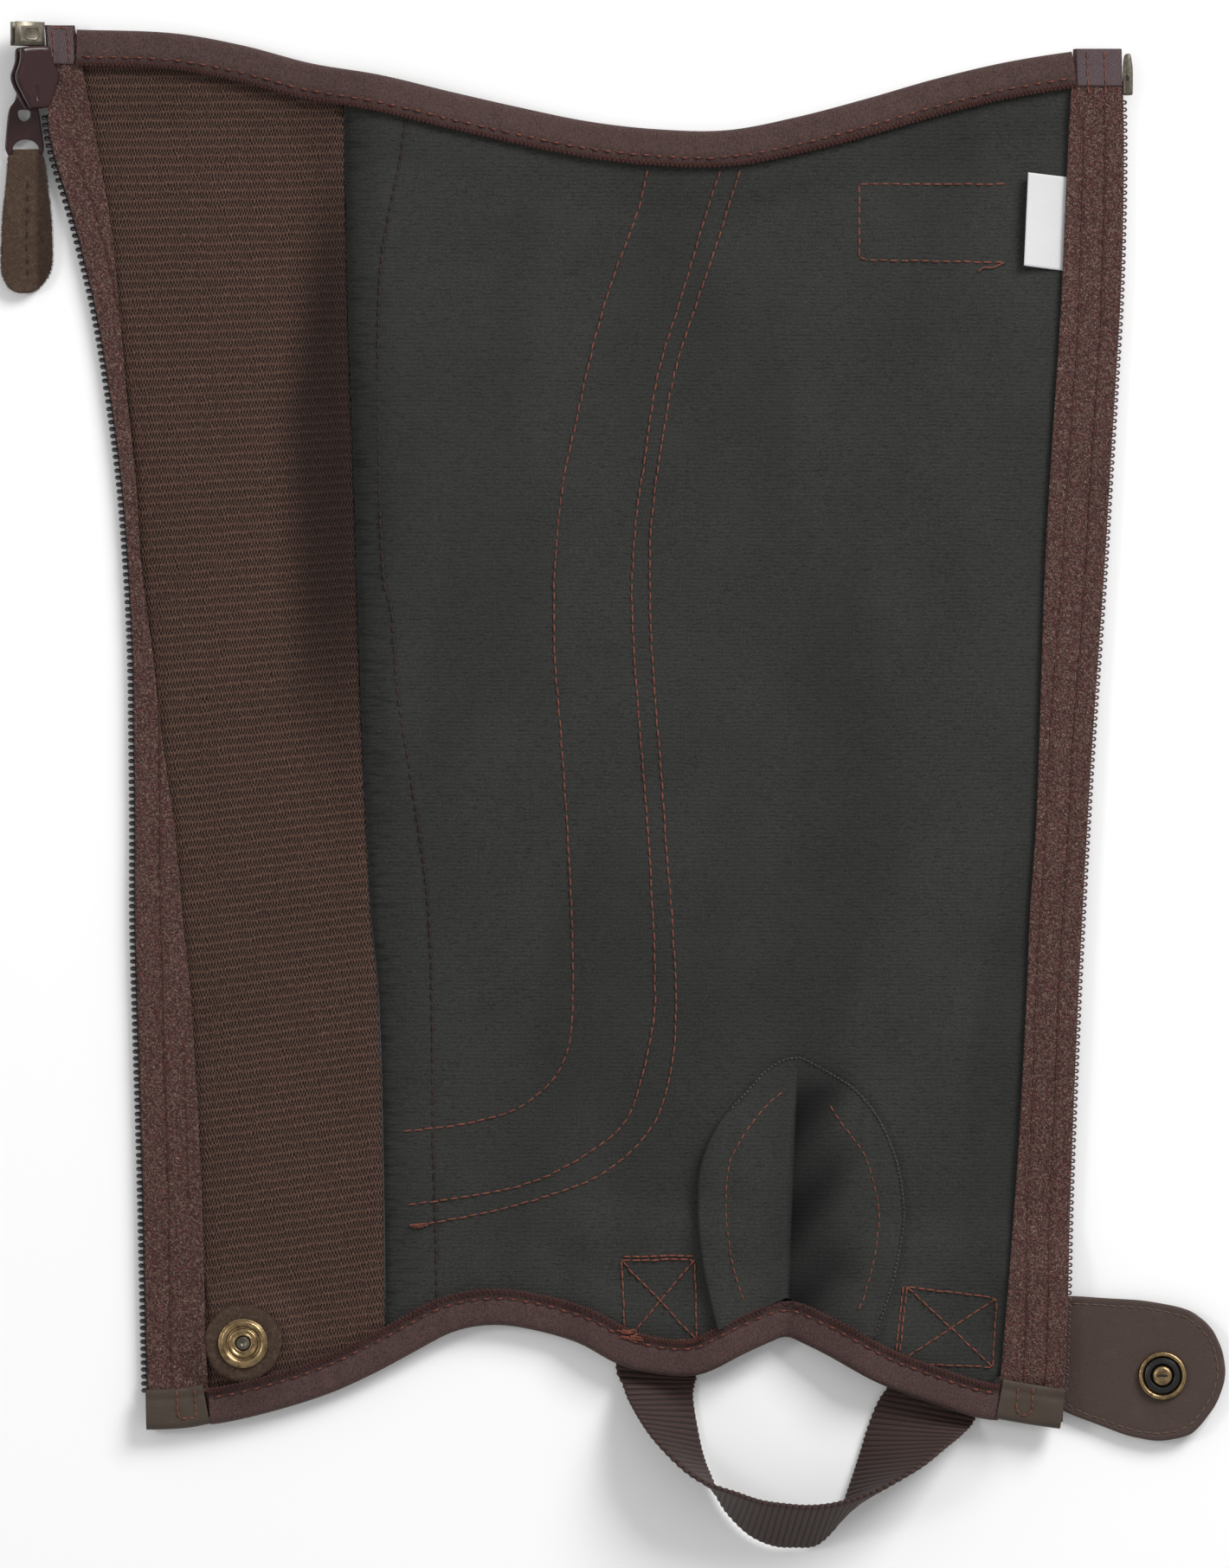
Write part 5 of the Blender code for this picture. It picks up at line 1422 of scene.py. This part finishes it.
ys = np.linspace(117.0, 140.0, 30)
seam = np.column_stack([-135.5 + 0.15 * np.sin(ys / 3.0), ys])
top = lambda x, y: 2.72 + 0.0 * x
long = {"length": 1.7, "pitch": 3.0, "bow": 0.12, "proud": -0.05, "seed": 73, "curved": False}
puller_stitches = stitched("puller_stitches", "suede", [seam], top, dark_thread, 0.9, "pull", **long)


def cut_fibres(name, outline, heights, count, reach, look, body, seed):
    """Short fibres that stand out from a cut edge of suede."""
    rng = np.random.default_rng(seed)
    points = np.array(outline, float)
    after = np.roll(points, -1, axis=0)
    pick = rng.integers(0, len(points), count)
    share = rng.uniform(0.0, 1.0, (count, 1))
    start = points[pick] * (1.0 - share) + after[pick] * share
    run = unit(after[pick] - points[pick])
    area = np.sum(points[:, 0] * after[:, 1] - after[:, 0] * points[:, 1])
    out = np.stack([run[:, 1], -run[:, 0]], axis=1) * (1.0 if area > 0 else -1.0)
    way = out + run * rng.normal(0.0, 0.7, (count, 1))
    reach = reach * rng.uniform(0.3, 1.0, (count, 1))
    z = rng.uniform(heights[0], heights[1], (count, 1))
    rise = rng.normal(0.0, 0.12, (count, 1))
    root = np.concatenate([start - out * 0.08, z], axis=1)
    middle = np.concatenate([start + way * 0.5 * reach, z + rise], axis=1)
    tip = np.concatenate([start + way * reach + run * 0.1, np.maximum(0.03, z + 2.0 * rise)], axis=1)
    paths = np.stack([root, middle, tip], axis=1)
    return thread_tubes(name, paths, (0.045, 0.035, 0.012), look, body, sides=3)


ys = np.linspace(113.9, 143.6, 60)
right_side = np.column_stack([puller_right(ys), ys])
left_side = np.column_stack([puller_left(ys), ys])
puller_outline = np.concatenate([right_side, left_side[::-1]])
puller_fibres = cut_fibres(
    "puller_fibres", puller_outline, heights=(0.3, 2.7), count=900, reach=0.4, look=brown_suede,
    body="pull", seed=75,
)

# The foot strap: one length of 20 mm ribbed polypropylene webbing. Its ends are caught under
# the hem, and between them it stands on its lower selvedge where it goes under the boot.
# x, y and z of its upper edge, then x and y of its lower one, which rests on the floor
STRAP = (
    (1.5, -110.3, 0.75, 18.9, -109.9), (0.7, -122.7, 0.75, 19.1, -121.7), (0.6, -134.8, 0.75, 19.3, -136.1),
    (2.1, -138.7, 3.6, 18.8, -138.9), (3.7, -142.5, 8.0, 18.5, -142.7), (7.7, -148.7, 14.0, 19.9, -151.7),
    (12.3, -153.9, 16.5, 21.1, -156.7), (17.5, -158.5, 18.0, 22.3, -159.9),
    (22.7, -161.3, 18.5, 23.9, -163.9), (28.3, -163.1, 18.0, 26.7, -168.7),
    (33.9, -164.9, 17.5, 31.5, -173.5), (39.3, -165.7, 17.0, 36.9, -176.0),
    (44.7, -166.1, 17.0, 41.9, -176.4), (49.9, -165.7, 17.0, 46.7, -176.0),
    (55.1, -164.5, 17.5, 50.3, -172.7), (60.3, -162.7, 18.0, 52.7, -168.3),
    (65.9, -159.9, 18.0, 54.3, -163.7), (71.5, -156.7, 16.5, 55.7, -159.3),
    (76.7, -152.9, 12.0, 57.1, -154.7), (80.9, -150.0, 5.5, 58.9, -148.7),
    (83.8, -146.8, 0.75, 61.3, -142.7), (86.3, -138.7, 0.75, 65.0, -136.5),
    (88.3, -130.7, 0.75, 66.3, -126.7), (88.7, -117.7, 0.75, 67.5, -115.1),
)
STRAP_THICK = 1.5
STRAP_WIDTH = 20.0
STRAP_RIB = 1.42

ribbed_webbing, shader, place = finish_of("ribbed_webbing", 0.65, sheen=0.05, specular=0.25)
weave, _ = with_ribs(place, STRAP_RIB, 0.55, 0.1)
cloth, fibres = dyed_cloth(place, (64, 46, 42), drift=0.15, speckle=0.6, fibre=0.3)
cloth = over(cloth, times(less(1.0, weave["Threads"]), 0.3), (36, 25, 22))
# painted shade: near-black lines in the troughs between the ribs
cloth = over(cloth, times(ramp(weave["Rib"], 0.35, 0.05), 0.85), (19, 13, 12))
dressed(shader, cloth, times_plus(weave["Threads"], 0.4, times(fibres, 0.3)), 0.12)

half = 0.5 * STRAP_THICK
middles = [(Vector((px, py, pz)), Vector((qx, qy, half))) for px, py, pz, qx, qy in STRAP]
frames = []
for i, (upper, lower) in enumerate(middles):
    before = middles[max(i - 1, 0)]
    after = middles[min(i + 1, len(middles) - 1)]
    run = (after[0] + after[1] - before[0] - before[1]).normalized()
    out = (lower - upper).cross(run).normalized()
    if out.z < -0.2:
        out.negate()
    if frames and out.dot(frames[-1][2]) < 0.0:
        out.negate()
    frames.append((upper, lower, out))
rows = [(k, *upper, *lower, *out) for k, (upper, lower, out) in enumerate(frames)]
at = np.linspace(0.0, len(rows) - 1, 640)
lines = np.stack([drawn(rows, k)(at) for k in range(1, 10)], axis=1)
upper, lower, out = lines[:, :3], lines[:, 3:6], lines[:, 6:]
out = unit(out)
middle = 0.5 * (upper + lower)
way = way_along(middle)
rib = 0.5 + 0.5 * np.cos(2.0 * np.pi * way / STRAP_RIB)
share = np.concatenate([[0.0, 0.012, 0.035], np.linspace(0.08, 0.92, 15), [0.965, 0.988, 1.0]])
round_edge = np.array([0.15, 0.7, 0.95] + [1.0] * 15 + [0.95, 0.7, 0.15])
width = np.linalg.norm(upper - lower, axis=1, keepdims=True)
tooth = (0.3 * (rib - 0.6))[:, None, None] * (lower - upper)[:, None, :] / width[:, None]
tooth = tooth * np.where(share < 0.01, -1.0, np.where(share > 0.99, 1.0, 0.0))[None, :, None]
flat = upper[:, None] * (1.0 - share)[None, :, None] + lower[:, None] * share[None, :, None] + tooth
rib_depth = half * (0.62 + 0.38 * rib)[:, None, None] * round_edge[None, :, None]
proud = out[:, None] * rib_depth
section = np.concatenate([flat + proud, (flat - proud)[:, ::-1]], axis=1)
section[:, :, 2] = np.maximum(0.0, section[:, :, 2])
across, along = np.meshgrid(np.concatenate([share, share[::-1]]) * STRAP_WIDTH, way)
strap_faces = tube_faces(*section.shape[:2])
marks = np.stack([across, along], axis=2)
strap_webbing = made_piece("strap_webbing", section, strap_faces, (ribbed_webbing,), marks=marks)
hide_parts("foot_strap")

# The snap tab: a tongue of smooth brown leather sewn under the right edge of the hem, stitched
# round its rim in brown, with the socket half of the lower snap through it.
TAB = (
    (95.0, -118.4), (105.7, -118.3), (114.3, -118.9), (122.3, -119.3), (130.3, -120.7), (133.9, -121.9),
    (137.1, -124.3), (139.1, -126.7), (141.0, -131.0), (141.7, -135.5), (141.3, -138.7), (139.5, -143.5),
    (135.9, -148.3), (133.3, -150.7), (126.3, -152.1), (118.9, -150.7), (112.7, -148.3), (107.0, -146.2),
    (104.2, -145.0), (102.6, -143.0), (101.0, -140.4), (98.5, -138.2), (95.0, -136.6),
)
SOCKET_PLACE = (127.0, -136.7)
TAB_ROOT = (95.0, -130.0, 0.1)
TAB_RISE = 2.0
TAB_THICK = 2.0

smooth_leather, shader, place = finish_of("smooth_leather", 0.6, specular=0.2)
cloth, fibres = dyed_cloth(place, (72, 58, 53), drift=0.22, speckle=0.16, fibre=0.6)
cells = put(place.id_data, "ShaderNodeTexVoronoi", Vector=place, Scale=2.2, feature="DISTANCE_TO_EDGE")
grain = ramp(cells.outputs["Distance"], 0.0, 0.12)
scuffed = ramp(noise(place, 0.22, 6.0, 0.7), 0.55, 0.75)
cloth = over(cloth, times(scuffed, 0.3), (100, 82, 72))
cloth = over(cloth, times_plus(grain, -0.22, 0.22), (44, 33, 29))
fill(shader.inputs["Roughness"], times_plus(scuffed, 0.2, 0.46))
dressed(shader, cloth, times_plus(grain, 0.6, times(fibres, 0.4)), 0.06)

TAB_STEPS = (
    (0.5, -1.0), (0.15, -0.93), (0.0, -0.7), (0.0, 0.5), (0.1, 0.78), (0.35, 0.94), (0.8, 1.0), (1.35, 0.97),
    (1.75, 0.9), (2.15, 0.97), (2.8, 1.0),
)
tab_at = placed(TAB_ROOT[0], TAB_ROOT[1], TAB_ROOT[2] + 0.5 * TAB_THICK, -TAB_RISE)
tab_outline = rounded([(x - TAB_ROOT[0], y - TAB_ROOT[1]) for x, y in TAB], 3)
leather_tab = cast("leather_tab", smooth_leather, tab_at, stacked_plate(tab_outline, TAB_STEPS))
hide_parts("snap_tab")


def tab_top(x, y):
    return TAB_ROOT[2] + TAB_THICK + (x - TAB_ROOT[0]) * math.tan(math.radians(TAB_RISE))


RIM_INSET = 1.75
rim = stacked_plate(tab_outline, ((0.0, 0.0), (RIM_INSET, 0.0)))[0][len(tab_outline) :, :2] + TAB_ROOT[:2]
rim = np.concatenate([rim, rim[:1]])
SEWN_FROM = 100.0
short = {"length": 1.75, "pitch": 2.1, "bow": 0.16, "proud": -0.1, "seed": 81, "curved": False}
row = [path for path in lockstitches([rim], tab_top, **short) if path[:, 0].min() > SEWN_FROM]
leather_thread = plain_cloth(
    "leather_thread", (92, 68, 58), roughness=0.55, sheen=0.2, specular=0.35,
    drift=0.2, speckle=0.6, fibre=0.25, depth_mm=0.08,
)
tab_stitches = thread_tubes("tab_stitches", row, 0.75 * STITCH_RADII, leather_thread)


def turned_body(profile, steps=48):
    """Points and faces of a round part, from the radius and height at each corner of its profile."""
    turn = circle(steps)[:, None]
    radius, height = np.array(profile, float).T
    count = len(profile)
    points = np.stack([radius * np.cos(turn), radius * np.sin(turn), height + 0.0 * turn], axis=2)
    row = np.arange(steps) * count
    after = np.roll(row, -1)
    faces = []
    for k in range(count):
        j = (k + 1) % count
        faces += np.stack([row + k, row + j, after + j, after + k], axis=1).tolist()
    return points.reshape(-1, 3), faces


# The socket: a rolled brass ring with a black nylon insert and the cap of its post.
RING = (
    (4.35, 0.35), (4.4, 0.85), (4.6, 1.2), (4.9, 1.38), (5.2, 1.36), (5.5, 1.15), (5.65, 0.8), (5.68, 0.5),
    (5.6, 0.3), (4.4, 0.3),
)
INSERT = (
    (0.6, 0.62), (2.6, 0.62), (2.75, 0.8), (3.0, 0.88), (3.3, 0.86), (3.6, 0.74), (3.95, 0.7), (4.25, 0.55),
    (4.3, 0.3), (0.6, 0.3),
)
POST = (
    (0.02, 1.8), (0.6, 1.8), (1.3, 1.8), (1.8, 1.72), (2.12, 1.5), (2.3, 1.2), (2.3, 0.95), (2.1, 0.85),
    (0.02, 0.85),
)
CAP = ((0.3, 0.25), (4.2, 0.25), (4.6, 0.0), (4.6, -0.35), (4.2, -0.55), (0.3, -0.55))
socket_at = placed(*SOCKET_PLACE, tab_top(SOCKET_PLACE[0], 0.0), -TAB_RISE)
black_insert = metal_finish(
    "black_insert", clean=(12, 11, 11), dull=(14, 12, 12),
    dullness=0.5, roughness=0.24, metallic=0.0, pit_mm=0.02,
)
socket_brass = cast("socket_brass", old_brass, socket_at, turned_body(RING, 64), turned_body(POST, 40))
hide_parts("socket_ring", "socket_stud")
slot_bar = stacked_plate(pill(1.25, 0.3, 16)[:, ::-1] * (1.0, -1.0), ((0.0, 1.6), (0.0, 1.81), (0.1, 1.84)))
socket_nylon = cast("socket_nylon", black_insert, socket_at, turned_body(INSERT, 56), slot_bar)
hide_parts("socket_insert")
foot_at = socket_at @ Matrix.Translation((0.0, 0.0, -TAB_THICK - 0.3))
socket_foot = cast("socket_foot", old_brass, foot_at, turned_body(CAP))
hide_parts("socket_cap")

# The stud half of the snap, set through the elastic: a suede washer under a brass eyelet ring
# on this side, and the stud below.
WASHER_STEPS = (
    (0.1, 0.0), (0.0, 0.2), (0.0, 0.95), (0.15, 1.25), (0.5, 1.42), (1.2, 1.46), (2.3, 1.4), (3.4, 1.3),
)
EYELET = (
    (1.75, 1.6), (1.75, 2.0), (1.85, 2.25), (2.05, 2.35), (2.25, 2.2), (2.4, 2.05), (2.6, 2.1), (2.85, 2.4),
    (3.1, 2.45), (3.35, 2.3), (3.5, 1.98), (3.7, 1.92), (3.9, 2.1), (4.3, 2.5), (4.8, 2.62), (5.2, 2.45),
    (5.35, 2.15), (5.45, 2.1), (5.6, 2.15), (5.72, 2.0), (5.75, 1.6),
)
WELL = ((0.02, 1.95), (1.2, 1.95), (1.72, 1.85), (1.72, 1.5), (0.02, 1.5))
STUD = (
    (1.75, 2.3), (5.2, 2.3), (5.4, 2.1), (5.4, 1.7), (3.6, 1.4), (3.45, 0.8), (3.6, 0.3), (3.2, 0.0),
    (1.75, 0.0),
)
snap_top = WASHER_REST + ELASTIC_THICK + 0.3
turn = circle(72)
WASHER_RADIUS = 8.9
radius = WASHER_RADIUS + 0.13 * np.sin(3 * turn + 0.5) + 0.08 * np.sin(7 * turn)
radius = radius + 0.05 * np.sin(17 * turn + 1.0)
washer_outline = np.column_stack([radius * np.cos(turn), radius * np.sin(turn)])
snap_at = placed(*SNAP_PLACE, snap_top)
suede_washer = cast("suede_washer", brown_suede, snap_at, stacked_plate(washer_outline, WASHER_STEPS))
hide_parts("snap_washer")
washer_edge = washer_outline + SNAP_PLACE
rise = (snap_top + 0.1, snap_top + 1.4)
washer_fibres = cut_fibres(
    "washer_fibres", washer_edge, heights=rise, count=500, reach=0.4, look=brown_suede,
    body="garment", seed=85,
)
snap_eyelet = cast("snap_eyelet", old_brass, snap_at, turned_body(EYELET, 64))
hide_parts("snap_ring")
snap_well = cast("snap_well", old_nickel, snap_at, turned_body(WELL, 40))
snap_post = cast("snap_post", old_brass, placed(*SNAP_PLACE, 0.05), turned_body(STUD))
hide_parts("snap_stud")

# The care label: a bare white satin-woven tape caught under the right zip tape, its free edge
# curling up.
LABEL_GAP = 0.12
LABEL_THICK = 0.28
label_cloth, shader, place = finish_of("label_cloth", 0.7, sheen=0.1, specular=0.25)
wefts = put(place.id_data, "ShaderNodeTexWave", Vector=place, Scale=1.6, Distortion=0.4, bands_direction="Y")
wefts = wefts.outputs["Fac"]
cloth, fibres = dyed_cloth(place, (208, 208, 209), drift=0.05, speckle=0.1, fibre=0.3)
cloth = over(cloth, times(wefts, 0.1), (194, 196, 199))
dressed(shader, cloth, times_plus(wefts, 0.7, times(fibres, 0.3)), 0.05)

column, row = shares(24, 40)
y = lerp(lerp(119.9, 118.7, column), lerp(141.5, 140.4, column), row)
x = lerp(lerp(94.9, 95.9, row), right_inner(y) + 1.2, column)
flat = lift(x, y) + MAIN_THICK + LABEL_GAP
low = flat + 0.1 * hum(x, y, 9.0, 17) * (1.0 - column) + 2.3 * (1.0 - column) ** 2
low = np.where(column > 0.86, np.minimum(low, flat), low)
care_tape = sewn_sheet("care_tape", x, y, low, low + LABEL_THICK, (label_cloth, label_cloth))
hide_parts("care_label")
